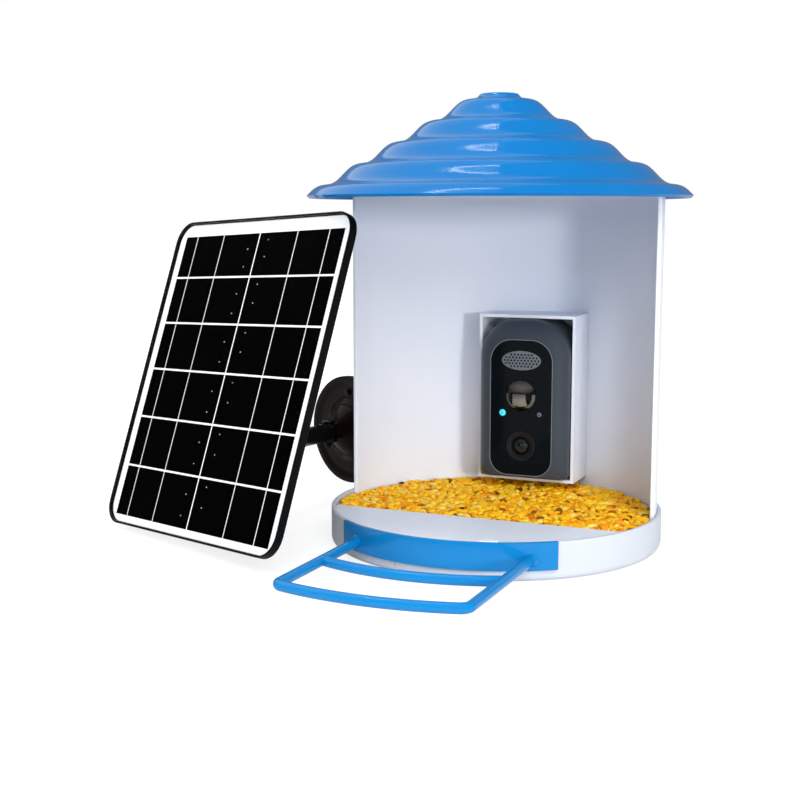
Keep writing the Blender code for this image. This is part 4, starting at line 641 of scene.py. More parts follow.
class Shape:
    """A mesh in the making, in metres, drawn in a frame of its own."""

    def __init__(self, place: Matrix | None = None) -> None:
        """Starts an empty shape whose points are given in a frame."""
        self.mesh = bmesh.new()
        self.place = place or Matrix.Identity(4)

    def point(self, x: float, y: float, z: float) -> Vertex:
        """Adds a point given in the shape's frame."""
        return self.mesh.verts.new(self.place @ Vector((x, y, z)))

    def loop(self, outline: Iterable[Pair], height: float) -> list[Vertex]:
        """Adds a flat loop of points at a height."""
        return [self.point(x, y, height) for x, y in outline]

    def rings(self, rings: Sequence[Sequence[Vertex]], back: bool = False, caps: bool = False) -> "Shape":
        """Joins rings of points with quads; a ring of one point is a pole.

        Args:
            rings: The rings in order.
            back: Whether the last ring joins the first.
            caps: Whether the first and the last ring are closed with a flat face.

        Returns:
            The shape.
        """
        pairs = list(zip(rings, rings[1:])) + ([(rings[-1], rings[0])] if back else [])
        for low, high in pairs:
            count = max(len(low), len(high))
            for i in range(count):
                j = (i + 1) % count
                corners = [low[i % len(low)], low[j % len(low)], high[j % len(high)], high[i % len(high)]]
                kept = list(dict.fromkeys(corners))
                if len(kept) > 2:
                    self.mesh.faces.new(kept)
        if caps:
            self.mesh.faces.new(rings[0])
            self.mesh.faces.new(rings[-1])
        return self

    def turned(self, profile: Sequence[Pair], steps: int, closed: bool = False) -> "Shape":
        """Turns a profile of radius and height about the frame's Z.

        Args:
            profile: Points of radius and height.
            steps: The steps of the full turn.
            closed: Whether the profile closes on itself.

        Returns:
            The shape.
        """
        rings = [self.loop(circle(r, steps) if r > 1e-7 else [(0, 0)], height) for r, height in profile]
        return self.rings(rings, back=closed)

    def lofted(self, loops: Sequence[Sequence[Triple]], back: bool = False) -> "Shape":
        """Joins loops of equal length: in a ring if asked, else with a flat cap at each end."""
        return self.rings([[self.point(*p) for p in loop] for loop in loops], back=back, caps=not back)

    def prism(self, outline: Sequence[Pair], low: float, high: float) -> "Shape":
        """A flat outline pulled up from one height to the other."""
        return self.rings([self.loop(outline, z) for z in (low, high)], caps=True)

    def box(self, size: Triple, centre: Triple) -> "Shape":
        """A block, for parts that are bevelled afterwards."""
        hx, hy, hz = (s / 2 for s in size)
        cx, cy, cz = centre
        base = [(cx - hx, cy - hy), (cx + hx, cy - hy), (cx + hx, cy + hy), (cx - hx, cy + hy)]
        return self.prism(base, cz - hz, cz + hz)

    def swept(self, path: Sequence[Vector], radius: float, steps: int) -> "Shape":
        """A round bar along the points of its middle line."""
        rings = []
        side = None
        for i, here in enumerate(path):
            ahead = (path[min(i + 1, len(path) - 1)] - path[max(i - 1, 0)]).normalized()
            side = (UP.cross(ahead) if side is None else side - ahead * side.dot(ahead)).normalized()
            across = ahead.cross(side)
            rings.append([self.point(*(here + side * x + across * y)) for x, y in circle(radius, steps)])
        return self.rings(rings, caps=True)

    def walls(
        self,
        us: Sequence[float],
        vs: Sequence[float],
        at: Callable[[float, float, int], Vector],
        keep: Callable[[float, float], bool] = lambda u, v: True,
    ) -> "Shape":
        """A plate of grid cells, some left out, given a front and a back and closed all round.

        Args:
            us: Places along the plate.
            vs: Places across the plate.
            at: The point for a place along, a place across and a side, 0 or 1.
            keep: Whether the cell with this middle is kept.

        Returns:
            The shape.
        """
        cells = [(i, j) for i in range(len(us) - 1) for j in range(len(vs) - 1)]
        kept = {(i, j) for i, j in cells if keep((us[i] + us[i + 1]) / 2, (vs[j] + vs[j + 1]) / 2)}
        points: dict[tuple[int, int, int], Vertex] = {}

        def corner(i: int, j: int, side: int) -> Vertex:
            """The point of a grid corner on one side, made once."""
            if (i, j, side) not in points:
                points[i, j, side] = self.point(*at(us[i], vs[j], side))
            return points[i, j, side]

        for i, j in kept:
            loop = [(i, j), (i + 1, j), (i + 1, j + 1), (i, j + 1)]
            beside = [(i, j - 1), (i + 1, j), (i, j + 1), (i - 1, j)]
            for side in (0, 1):
                self.mesh.faces.new([corner(a, b, side) for a, b in loop])
            for (a, b), (c, d), other in zip(loop, loop[1:] + loop[:1], beside):
                if other not in kept:
                    self.mesh.faces.new([corner(a, b, 0), corner(c, d, 0), corner(c, d, 1), corner(a, b, 1)])
        return self

    def data(self, name: str, outward_faces: bool = True) -> Mesh:
        """Merges doubles, turns the faces outwards if asked and returns the mesh."""
        bmesh.ops.remove_doubles(self.mesh, verts=self.mesh.verts, dist=1e-7)
        if outward_faces:
            bmesh.ops.recalc_face_normals(self.mesh, faces=self.mesh.faces)
        made = bpy.data.meshes.new(name)
        self.mesh.to_mesh(made)
        self.mesh.free()
        return made

    def piece(self, name: str) -> Object:
        """The shape as an object, with its faces turned outwards."""
        return linked(name, self.data(name))

    def smooth(self, name: str, width: float = 0.0, segments: int = 3) -> Object:
        """The shape as an object with smooth shading, its edges rounded by a width."""
        return softened(self.piece(name), width, segments)


def linked(name: str, mesh: Mesh) -> Object:
    """Links a mesh to the scene as an object at the origin."""
    made = bpy.data.objects.new(name, mesh)
    bpy.context.scene.collection.objects.link(made)
    return made


def settled(obj: Object) -> Object:
    """Replaces an object that has modifiers with a plain one, which is returned."""
    graph = bpy.context.evaluated_depsgraph_get()
    graph.update()
    result = obj.evaluated_get(graph)
    mesh = bpy.data.meshes.new_from_object(result, preserve_all_data_layers=True, depsgraph=graph)
    name = obj.name
    bpy.data.objects.remove(obj)
    mesh.name = name
    return linked(name, mesh)


def carved(obj: Object, *cutters: Object) -> Object:
    """Cuts closed cutters out of an object, removes them and returns the carved object."""
    for cutter in cutters:
        step = obj.modifiers.new("Cut", "BOOLEAN")
        step.operation = "DIFFERENCE"
        step.solver = "EXACT"
        step.object = cutter
    made = settled(obj)
    for cutter in cutters:
        bpy.data.objects.remove(cutter)
    return made


def softened(obj: Object, width: float, segments: int = 3, angle: float = 38.0) -> Object:
    """Rounds an object's edges and gives it smooth shading with weighted normals.

    Args:
        obj: The object.
        width: The bevel's width, or 0 for none.
        segments: The bevel's segments.
        angle: Edges sharper than this are rounded, in degrees.

    Returns:
        The rounded object.
    """
    if width:
        bevel = obj.modifiers.new("Bevel", "BEVEL")
        bevel.width = width
        bevel.segments = segments
        bevel.limit_method = "ANGLE"
        bevel.angle_limit = math.radians(angle)
        bevel.miter_outer = "MITER_ARC"
        obj = settled(obj)
    obj.data.shade_smooth()
    obj.data.set_sharp_from_angle(angle=math.radians(46))
    weighted = obj.modifiers.new("Weighted", "WEIGHTED_NORMAL")
    weighted.keep_sharp = True
    return settled(obj)


class Generator:
    """A Geometry Nodes tree with named inputs, run once and turned into a plain mesh."""

    def __init__(self, name: str) -> None:
        """Starts a named tree with a geometry input and output."""
        self.tree = bpy.data.node_groups.new(name, "GeometryNodeTree")
        self.tree.interface.new_socket("Geometry", in_out="INPUT", socket_type="NodeSocketGeometry")
        self.tree.interface.new_socket("Geometry", in_out="OUTPUT", socket_type="NodeSocketGeometry")
        self.entry = add_node(self.tree, "NodeGroupInput")
        self.values: dict[str, float | int] = {}

    @property
    def base(self) -> Socket:
        """The geometry of the object that carries the tree."""
        return self.entry.outputs[0]

    def size(self, name: str, value: float | int) -> Socket:
        """Adds a named input, whole or not as its value is, and returns the socket that gives it."""
        kind = "NodeSocketInt" if isinstance(value, int) else "NodeSocketFloat"
        made = self.tree.interface.new_socket(name, in_out="INPUT", socket_type=kind)
        self.values[made.identifier] = value
        return self.entry.outputs[name]

    def sum(self, operation: str, first: object, second: object = 0.0, third: object = 0.0) -> Socket:
        """Adds one step of arithmetic and returns its value."""
        parts = {0: first, 1: second, 2: third}
        return add_node(self.tree, "ShaderNodeMath", {"operation": operation}, parts).outputs[0]

    def run(self, name: str, geometry: Socket, finish: Finish, mesh: Mesh) -> Object:
        """Ends the tree, runs it on a mesh and returns a plain object.

        Args:
            name: The object's name.
            geometry: The geometry that the tree gives.
            finish: The finish that the tree sets.
            mesh: The mesh that carries the tree.

        Returns:
            The object with the evaluated mesh.
        """
        real = add_node(self.tree, "GeometryNodeRealizeInstances", inputs={"Geometry": geometry})
        parts = {"Geometry": real.outputs[0], "Material": finish.material()}
        dressed = add_node(self.tree, "GeometryNodeSetMaterial", inputs=parts)
        add_node(self.tree, "NodeGroupOutput", inputs={"Geometry": dressed.outputs[0]})
        obj = linked(name, mesh)
        step = obj.modifiers.new("Generator", "NODES")
        step.node_group = self.tree
        for identifier, value in self.values.items():
            step[identifier] = value
        return settled(obj)


# Sub-assemblies


class SubAssembly:
    """What every sub-assembly does with a finished piece."""

    def add(self, obj: Object, body: Body, finish: Finish, *nodes: str) -> None:
        """Dresses a piece, puts it on its body and hides the CAD nodes that it replaces.

        Args:
            obj: The piece, at the origin.
            body: The body that it rides on.
            finish: Its finish.
            nodes: The CAD nodes that it replaces.
        """
        obj.data.materials.clear()
        obj.data.materials.append(finish.material())
        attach(obj, body.value)
        if nodes:
            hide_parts(*nodes)
        faces = sum(len(p.vertices) - 2 for p in obj.data.polygons)
        log.info("%s on %s: %d triangles", obj.name, body.value, faces)

    def dress(self, finish: Finish, *nodes: str) -> None:
        """Gives carried-over CAD nodes a finish in their objects' material slots."""
        for name in nodes:
            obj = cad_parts[name]
            if not obj.material_slots:
                obj.data.materials.append(None)
            for slot in obj.material_slots:
                slot.link = "OBJECT"
                slot.material = finish.material()
            log.info("%s keeps its CAD shape in %s", name, finish.name)

    def refine(self, node: str, body: Body, finish: Finish, width: float, segments: int = 3) -> None:
        """Adds a copy of a CAD node's mesh with its flat faces joined and its edges rounded.

        Args:
            node: The CAD node, which the copy replaces.
            body: The body that it rides on.
            finish: Its finish.
            width: The bevel's width.
            segments: The bevel's segments.
        """
        shape = Shape()
        shape.mesh.from_mesh(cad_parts[node].data)
        bmesh.ops.remove_doubles(shape.mesh, verts=shape.mesh.verts, dist=MERGE)
        verts, edges = shape.mesh.verts, shape.mesh.edges
        bmesh.ops.dissolve_limit(shape.mesh, angle_limit=math.radians(0.6), verts=verts, edges=edges)
        mesh = shape.data(f"{node}_fine", outward_faces=False)
        self.add(softened(linked(f"{node}_fine", mesh), width, segments), body, finish, node)


@dataclass
class SeedTray(SubAssembly):
    """The round tub, the ledge before the seeds and the seeds."""

    radius: float = 0.101
    height: float = 0.022
    wall: float = 0.0025
    floor: float = 0.0025
    floor_round: float = 0.002
    edge_round: float = 0.004
    lip_round: float = 0.0008
    foot_outer: float = 0.088
    foot_inner: float = 0.084
    foot_groove: float = 0.0006
    gap: float = 0.0003
    seams: Pair = (math.radians(-14.2), math.radians(18.9))
    seam_width: float = 0.0009
    seam_depth: float = 0.0006
    seam_drop: float = 0.002
    deck_chord: float = 0.037
    deck_top: float = 0.0208
    deck_thickness: float = 0.002
    rib_spacing: float = 0.07
    clip_near: float = math.radians(14.2)
    clip_far: float = math.radians(20.3)
    clip_steps: int = 8
    clip_rise: float = 0.0012
    clip_root: float = 0.001
    clip_bite: float = 0.0012
    clip_overhang: float = 0.0001
    shell_front: float = 0.003
    shell_inner: float = 0.0957
    seed_edge: float = 0.0185
    seed_crown: float = 0.0014
    crown_shares: tuple[Pair, ...] = ((1.0, 0.0), (0.9, 0.35), (0.75, 0.65), (0.5, 0.9), (0.2, 1.0))
    loose_layer: float = 0.0006
    loose_inset: float = 0.0022
    loose_lift: float = 0.0002
    grain_length: float = 0.0062
    grain_shares: Triple = (0.66, 0.46, 1.0)
    grain_sizes: Pair = (0.7, 1.1)
    grain_tilt: float = 0.42
    grain_spin: float = 6.283
    grain_spacing: float = 0.0026
    most_grains: float = 900000.0
    heap: float = 0.0016
    place_seed: int = 7
    heap_seed: int = 11
    size_seed: int = 31
    tone_seed: int = 53

    def build(self) -> None:
        """Builds the tub, the ledge and the seeds."""
        self.build_tub()
        self.build_deck()
        self.build_seeds()

    def build_tub(self) -> None:
        """The tub: a turned wall with a rounded lip and lower edge and a foot ring under the floor."""
        inner, lip, edge, groove = self.radius - self.wall, self.lip_round, self.edge_round, self.foot_groove
        floor, bend = self.floor, self.floor_round
        profile = [(0, floor), (inner - bend, floor), (inner, floor + bend)]
        profile += arc((inner + lip, self.height - lip), lip, math.pi, QUARTER, 4)
        profile += arc((self.radius - lip, self.height - lip), lip, QUARTER, 0, 4)
        profile += arc((self.radius - edge, edge), edge, 0, -QUARTER, 10)
        profile += [(self.foot_outer, 0), (self.foot_outer - groove, groove)]
        profile += [(self.foot_inner + groove, groove), (self.foot_inner, 0), (0, 0)]
        tub = Shape().turned(profile, 192).piece("base_tray_fine")
        tub = carved(tub, *[self.seam(angle) for angle in self.seams])
        self.add(softened(tub, 0), Body.FEEDER, TUB_ABS, "base_tray")

    def seam(self, angle: float) -> Object:
        """A cutter for an upright seam in the tub's wall, at an angle from the front."""
        away = (math.sin(angle), -math.cos(angle), 0)
        cutter = Shape(facing(Vector(away) * self.radius, away))
        size = (self.seam_width, self.height, 2 * self.seam_depth)
        return cutter.box(size, (0, self.height / 2 - self.seam_drop, 0)).piece("seam")

    def build_deck(self) -> None:
        """The D-shaped ledge with its wall and ribs, its upper edges rounded, and its clip."""
        radius = self.radius - self.wall - self.gap
        thick = self.deck_thickness
        reach = math.acos(self.deck_chord / radius)
        outline = arc((0, 0), radius, -QUARTER - reach, -QUARTER + reach, 96)
        deck = Shape().prism(outline, self.deck_top - thick, self.deck_top)
        foot = self.floor + self.gap
        tall = self.deck_top - thick / 2 - foot
        middle = foot + tall / 2
        back = -self.deck_chord - thick
        deck.box((2 * radius * math.sin(reach) - 2 * thick, thick, tall), (0, back, middle))
        rib = (radius - self.deck_chord) / 2
        for side in (-1, 1):
            deck.box((thick, rib, tall), (side * self.rib_spacing / 2, back - rib / 2, middle))
        self.add(deck.smooth("front_deck_fine", 0.0005), Body.FEEDER, WHITE_ABS, "front_deck")
        self.add(self.clip().smooth("deck_clip", 0.0003), Body.FEEDER, WHITE_ABS)

    def clip(self) -> Shape:
        """The ledge's clip: a flat tab that lies over the tub's lip."""
        inner = self.radius - self.wall - 2 * self.gap - self.clip_bite
        outer = self.radius + self.clip_overhang
        foot, low, high = self.deck_top - self.clip_root, self.height + self.gap, self.height + self.clip_rise
        loops = []
        for step in range(self.clip_steps + 1):
            angle = self.clip_near + (self.clip_far - self.clip_near) * step / self.clip_steps
            x, y = math.sin(angle), -math.cos(angle)
            section = ((inner, foot), (inner, high), (outer, high), (outer, low))
            loops.append([(radius * x, radius * y, z) for radius, z in section])
        return Shape().lofted(loops)

    def seed_outline(self, inset: float) -> list[Pair]:
        """The seed bed's outline, set in from the walls around it."""
        wide = self.radius - self.wall - self.gap - inset
        narrow = self.shell_inner - self.gap - inset
        chord, step = self.deck_chord - self.gap - inset, self.shell_front - self.gap - inset
        right = arc((0, 0), wide, math.asin(-chord / wide), math.asin(step / wide), 12)
        rear = math.asin(step / narrow)
        return right + arc((0, 0), narrow, rear, math.pi - rear, 64) + [(-x, y) for x, y in reversed(right)]

    def crowned(self, shape: Shape, inset: float, low: float) -> list[list[Vertex]]:
        """Loops of the seeds' surface from its edge to its crown, on a shape."""
        outline = self.seed_outline(inset)
        rises = [(share, low + self.seed_crown * rise) for share, rise in self.crown_shares]
        return [shape.loop([(x * share, y * share) for x, y in outline], height) for share, height in rises]

    def build_seeds(self) -> None:
        """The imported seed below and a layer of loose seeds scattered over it."""
        top = self.seed_edge - self.loose_layer
        bed = Shape()
        foot = bed.loop(self.seed_outline(0), self.floor + self.gap)
        bed.rings([foot, *self.crowned(bed, 0, top)], caps=True)
        # The seed below is darker than the loose seed on it: painted shade in the gaps.
        self.add(bed.smooth("seed_bed_base"), Body.FEEDER, SEED_BASE_WITH_GAP_SHADE, "seed_bed")
        carpet = Shape()
        rings = self.crowned(carpet, self.loose_inset, top + self.loose_lift)
        carpet.rings(rings)
        carpet.mesh.faces.new(rings[-1])
        mesh = carpet.data("loose_seeds", outward_faces=False)
        if mesh.polygons[0].normal.z < 0:
            mesh.flip_normals()
        self.add(self.scatter(mesh), Body.FEEDER, SEEDS)

    def scatter(self, mesh: Mesh) -> Object:
        """Scatters seeds over a mesh, each with a turn, a size and a tone of its own.

        Args:
            mesh: The surface that the seeds lie on.

        Returns:
            The seeds as one plain object.
        """
        maker = Generator("Scattered seeds")
        tree = maker.tree
        length = maker.size("Seed length", self.grain_length)
        spacing = maker.size("Spacing", self.grain_spacing)
        number = maker.size("Random number", self.place_seed)
        heap = maker.size("Heap height", self.heap)
        points = add_node(
            tree,
            "GeometryNodeDistributePointsOnFaces",
            {"distribute_method": "POISSON"},
            {"Mesh": maker.base, "Distance Min": spacing, "Density Max": self.most_grains, "Seed": number},
        )
        unit = (0.0, 1.0)
        draws = ((unit, self.heap_seed), (self.grain_sizes, self.size_seed), (unit, self.tone_seed))
        settings = {"data_type": "FLOAT"}
        lifts, sizes, tones = (
            add_node(tree, "FunctionNodeRandomValue", settings, {2: low, 3: high, "Seed": seed}).outputs[1]
            for (low, high), seed in draws
        )
        offset = add_node(tree, "ShaderNodeCombineXYZ", inputs={2: maker.sum("MULTIPLY", lifts, heap)})
        parts = {"Geometry": points.outputs[0], "Offset": offset.outputs[0]}
        heaped = add_node(tree, "GeometryNodeSetPosition", inputs=parts)
        grain = add_node(tree, "GeometryNodeMeshUVSphere", inputs={"Segments": 8, "Rings": 5, "Radius": 0.5})
        parts = {"Geometry": grain.outputs[0], "Scale": self.grain_shares, "Rotation": (QUARTER, 0, 0)}
        shaped = add_node(tree, "GeometryNodeTransform", inputs=parts)
        tilt = self.grain_tilt
        turn = add_node(
            tree,
            "FunctionNodeRandomValue",
            {"data_type": "FLOAT_VECTOR"},
            {0: (-tilt, -tilt, 0.0), 1: (tilt, tilt, self.grain_spin), "Seed": number},
        )
        parts = {
            "Points": heaped.outputs[0],
            "Instance": shaped.outputs[0],
            "Rotation": turn.outputs[0],
            "Scale": maker.sum("MULTIPLY", sizes, length),
        }
        placed = add_node(tree, "GeometryNodeInstanceOnPoints", inputs=parts)
        parts = {"Geometry": placed.outputs[0], "Name": "tone", "Value": tones}
        settings = {"data_type": "FLOAT", "domain": "INSTANCE"}
        toned = add_node(tree, "GeometryNodeStoreNamedAttribute", settings, parts)
        real = add_node(tree, "GeometryNodeRealizeInstances", inputs={"Geometry": toned.outputs[0]})
        smooth = add_node(tree, "GeometryNodeSetShadeSmooth", inputs={"Geometry": real.outputs[0]})
        return maker.run("loose_seeds", smooth.outputs[0], SEEDS, mesh)


@dataclass
class RearShell(SubAssembly):
    """The half cylinder behind the seeds, its hoop and the pocket for the camera unit."""

    outer: float = 0.0982
    wall: float = 0.0025
    front: float = 0.003
    low: float = 0.0028
    high: float = 0.2143
    steps_around: int = 120
    steps_up: int = 24
    hoop_width: float = 0.004
    hoop_height: float = 0.0028
    hoop_drop: float = 0.0005
    window_half: float = 0.016
    window_low: float = 0.0305
    window_high: float = 0.0475

    def build(self) -> None:
        """Builds the shell with its hoop, and the pocket."""
        inner = self.outer - self.wall
        start = math.asin(self.front / self.outer)
        cut = math.asin(self.window_half / inner)
        around = {start + (math.pi - 2 * start) * i / self.steps_around for i in range(self.steps_around + 1)}
        up = {self.low + (self.high - self.low) * i / self.steps_up for i in range(self.steps_up + 1)}
        angles = sorted(around | {QUARTER - cut, QUARTER + cut})
        heights = sorted(up | {self.window_low, self.window_high})

        def at(angle: float, height: float, side: int) -> Vector:
            """A point of the shell's outer or inner face; the front edges stay flat."""
            radius = inner if side else self.outer
            y = radius * math.sin(angle)
            if min(angle, math.pi - angle) <= start + 1e-9:
                y = self.front
            x = math.copysign(math.sqrt(max(radius**2 - y**2, 0)), math.cos(angle))
            return Vector((x, y, height))

        def keep(angle: float, height: float) -> bool:
            """Whether a cell lies outside the charging window."""
            return not (abs(angle - QUARTER) < cut and self.window_low < height < self.window_high)

        shell = Shape().walls(angles, heights, at, keep)
        self.add(shell.smooth("rear_shell_fine", 0.0006), Body.FEEDER, WHITE_ABS, "rear_shell")
        high = self.high - self.hoop_drop
        low, out = high - self.hoop_height, inner + self.wall / 2
        section = [(out - self.hoop_width, high), (out, high), (out, low), (out - self.hoop_width, low)]
        hoop = Shape().turned(section, 160, closed=True)
        self.add(hoop.smooth("shell_hoop", 0.0005), Body.FEEDER, WHITE_ABS)
        self.refine("camera_pocket", Body.FEEDER, WHITE_ABS, 0.0009, 4)


@dataclass
class TieredRoof(SubAssembly):
    """The tiered cone with its cap and the ring that sits on the shell.

    Attributes:
        cap_edge: How far in and how far up each point of the cap's rounded edge lies.
    """

    radius: float = 0.1145
    eave: float = 0.2098
    height: float = 0.0592
    cap: float = 0.013
    cap_edge: tuple[Pair, ...] = (
        (0, 0),
        (0.0007, 0.0007),
        (0.0013, 0.00145),
        (0.0018, 0.00195),
        (0.0026, 0.00215),
    )
    tier_pitch: float = 0.0215
    tier_wave: float = 0.0016
    phase_share: float = 0.214
    thickness: float = 0.0022
    steps: int = 192
    rows: int = 96
    ring_inner: float = 0.0942
    ring_seat: float = 0.0987
    ring_outer: float = 0.1007
    ring_low: float = 0.2111
    seat: float = 0.2146

    def wave(self, radius: float) -> float:
        """The tiers' wave at a radius."""
        return self.tier_wave * math.sin(TURN * ((radius - self.cap) / self.tier_pitch - self.phase_share))

    def rise(self, radius: float) -> float:
        """The roof's outer height above the tray's underside at a radius."""
        fall = (radius - self.cap) / (self.radius - self.cap)
        return self.eave + self.height * (1 - fall) + self.wave(radius) - self.wave(self.radius)

    def skin(self) -> Object:
        """The outer skin: a flat grid that the rule turns into the tiered cone."""
        maker = Generator("Tiered cone")
        tree = maker.tree
        outer = maker.size("Eave radius", self.radius)
        cap = maker.size("Cap radius", self.cap)
        tall = maker.size("Height", self.height)
        base = maker.size("Eave height", self.eave - self.wave(self.radius))
        pitch = maker.size("Tier pitch", self.tier_pitch)
        wave = maker.size("Tier wave", self.tier_wave)
        phase = maker.size("Phase share", self.phase_share)
        around = maker.size("Steps around", self.steps + 1)
        down = maker.size("Rows", self.rows + 1)
        sides = {"Size X": 1.0, "Size Y": 1.0, "Vertices X": around, "Vertices Y": down}
        grid = add_node(tree, "GeometryNodeMeshGrid", inputs=sides)
        place = add_node(tree, "GeometryNodeInputPosition")
        flat = add_node(tree, "ShaderNodeSeparateXYZ", inputs={0: place.outputs[0]})
        angle = maker.sum("MULTIPLY", maker.sum("ADD", flat.outputs[0], 0.5), TURN)
        share = maker.sum("ADD", flat.outputs[1], 0.5)
        radius = maker.sum("MULTIPLY_ADD", share, maker.sum("SUBTRACT", outer, cap), cap)
        tiers = maker.sum("SUBTRACT", maker.sum("DIVIDE", maker.sum("SUBTRACT", radius, cap), pitch), phase)
        ripple = maker.sum("MULTIPLY", maker.sum("SINE", maker.sum("MULTIPLY", tiers, TURN)), wave)
        slope = maker.sum("MULTIPLY_ADD", maker.sum("SUBTRACT", 1.0, share), tall, base)
        spot = {
            0: maker.sum("MULTIPLY", radius, maker.sum("COSINE", angle)),
            1: maker.sum("MULTIPLY", radius, maker.sum("SINE", angle)),
            2: maker.sum("ADD", slope, ripple),
        }
        target = add_node(tree, "ShaderNodeCombineXYZ", inputs=spot)
        parts = {"Geometry": grid.outputs[0], "Position": target.outputs[0]}
        moved = add_node(tree, "GeometryNodeSetPosition", inputs=parts)
        return maker.run("roof_fine", moved.outputs[0], BLUE_ABS, bpy.data.meshes.new("roof_fine"))

    def build(self) -> None:
        """Closes the skin with its cap, gives it its thickness and adds the ring below."""
        skin = self.skin()
        shape = Shape()
        shape.mesh.from_mesh(skin.data)
        bpy.data.objects.remove(skin)
        bmesh.ops.remove_doubles(shape.mesh, verts=shape.mesh.verts, dist=MERGE)
        low = self.rise(self.cap)
        profile = [(self.cap - inset, low + up) for inset, up in self.cap_edge]
        profile.append((0, profile[-1][1]))
        shape.mesh.from_mesh(Shape().turned(profile, self.steps).data("roof_cap", outward_faces=False))
        bmesh.ops.remove_doubles(shape.mesh, verts=shape.mesh.verts, dist=MERGE)
        bmesh.ops.recalc_face_normals(shape.mesh, faces=shape.mesh.faces)
        shape.mesh.faces.ensure_lookup_table()
        top = max(shape.mesh.faces, key=lambda f: f.calc_center_median().z)
        if top.normal.z < 0:
            bmesh.ops.reverse_faces(shape.mesh, faces=shape.mesh.faces)
        obj = linked("roof_fine", shape.data("roof_fine", outward_faces=False))
        thick = obj.modifiers.new("Thickness", "SOLIDIFY")
        thick.thickness = self.thickness
        thick.offset = -1.0
        self.add(softened(settled(obj), 0.0006, 3, 60), Body.ROOF, BLUE_ABS, "roof")
        section = [
            (self.ring_inner, self.rise(self.ring_inner) - self.thickness),
            (self.ring_outer, self.rise(self.ring_outer) - self.thickness / 2),
            (self.ring_outer, self.ring_low),
            (self.ring_seat, self.ring_low),
            (self.ring_seat, self.seat),
            (self.ring_inner, self.seat),
        ]
        ring = Shape().turned(section, self.steps, closed=True)
        self.add(ring.smooth("roof_ring", 0.0003), Body.ROOF, BLUE_ABS)


@dataclass
class Perch(SubAssembly):
    """The blue band on the tray, and the bent perch frame with its cross bar."""

    band_inner: float = 0.1013
    band_outer: float = 0.1035
    band_half_angle: float = math.radians(39)
    band_low: float = 0.0068
    band_high: float = 0.0228
    band_steps: int = 80
    band_rows: int = 6
    bar_radius: float = 0.0029
    bar_z: float = 0.0130
    bar_steps: int = 40
    half_width: float = 0.052
    root_bite: float = 0.0008
    straight_from: float = -0.09
    reach: float = 0.186
    bulge: float = 0.008
    cross_reach: float = 0.134
    cross_bulge: float = 0.011
    corner: float = 0.0055
    corner_steps: int = 12
    corner_clear: float = 1.15
    bead_length: float = 0.0030
    bead_swell: float = 0.0013
    bead_fall: float = 1.4
    bead_ripple: float = 0.12
    bead_waves: int = 9
    bead_twist: float = 2.4
    bead_sink: float = 0.0004
    bead_skin: float = 0.00002
    bead_rows: int = 6

    def build(self) -> None:
        """Builds the band and the frame with its weld beads."""
        start, sweep = -QUARTER - self.band_half_angle, 2 * self.band_half_angle
        angles = [start + sweep * i / self.band_steps for i in range(self.band_steps + 1)]
        tall = self.band_high - self.band_low
        heights = [self.band_low + tall * i / self.band_rows for i in range(self.band_rows + 1)]

        def at(angle: float, height: float, side: int) -> Vector:
            """A point of the band's inner or outer face."""
            radius = self.band_inner if side else self.band_outer
            return Vector((radius * math.cos(angle), radius * math.sin(angle), height))

        band = Shape().walls(angles, heights, at)
        self.add(band.smooth("perch_band_fine", 0.0005), Body.FEEDER, BLUE_POWDER, "perch_band")
        self.add(self.hoop().smooth("perch_frame_fine"), Body.FEEDER, BLUE_POWDER, "perch_frame")

    def bowed(self, y: float, bulge: float) -> list[Vector]:
        """Points of a bar that bows forward by the bulge between its ends."""
        radius = dome_radius(self.half_width, bulge)
        half = math.asin(self.half_width / radius)
        flat = arc((0, y - bulge + radius), radius, -QUARTER - half, -QUARTER + half, self.bar_steps)
        return [Vector((x, place, self.bar_z)) for x, place in flat]

    def rounded(self, points: list[Vector], corners: Iterable[int]) -> list[Vector]:
        """The path with its listed corners rounded."""
        path = []
        for i, point in enumerate(points):
            if i not in corners:
                path.append(point)
                continue
            before = (points[i - 1] - point).normalized()
            after = (points[i + 1] - point).normalized()
            half = before.angle(after) / 2
            centre = point + (before + after).normalized() * (self.corner / math.sin(half))
            setback = self.corner / math.tan(half)
            first, last = point + before * setback, point + after * setback
            for step in range(self.corner_steps + 1):
                spoke = (first - centre).slerp(last - centre, step / self.corner_steps)
                path.append(centre + spoke.normalized() * self.corner)
        return path

    def hoop(self) -> Shape:
        """The hoop, its cross bar and the beads where it is welded to the band."""
        side, z = self.half_width, self.bar_z
        root = -self.band_outer * math.cos(math.asin(side / self.band_outer)) + self.root_bite
        front = self.bowed(-self.reach, self.bulge)
        inner = [p for p in front if abs(p.x) < side - self.corner * self.corner_clear]
        path = [Vector((-side, root, z)), Vector((-side, self.straight_from, z)), front[0], *inner, front[-1]]
        path += [Vector((side, self.straight_from, z)), Vector((side, root, z))]
        shape = Shape().swept(self.rounded(path, {2, len(path) - 3}), self.bar_radius, 24)
        shape.swept(self.bowed(-self.cross_reach, self.cross_bulge), self.bar_radius, 24)
        for way in (-1, 1):
            self.bead(shape, Vector((way * side, root, z)))
        return shape

    def bead(self, shape: Shape, foot: Vector) -> None:
        """Adds a weld bead to a shape: a low cone round the bar's foot with a ripple in it."""
        shape.place = facing(foot, (0, -1, 0))
        rings = []
        for row in range(self.bead_rows + 1):
            share = row / self.bead_rows
            outline = []
            for x, y in circle(1.0, 32):
                wave = math.sin(self.bead_waves * math.atan2(y, x) + self.bead_twist * row)
                swell = self.bead_swell * (1 - share) ** self.bead_fall * (1 + self.bead_ripple * wave)
                radius = self.bar_radius + swell + self.bead_skin
                outline.append((x * radius, y * radius))
            rings.append(shape.loop(outline, self.bead_length * share - self.bead_sink))
        shape.rings(rings, caps=True)
        shape.place = Matrix.Identity(4)


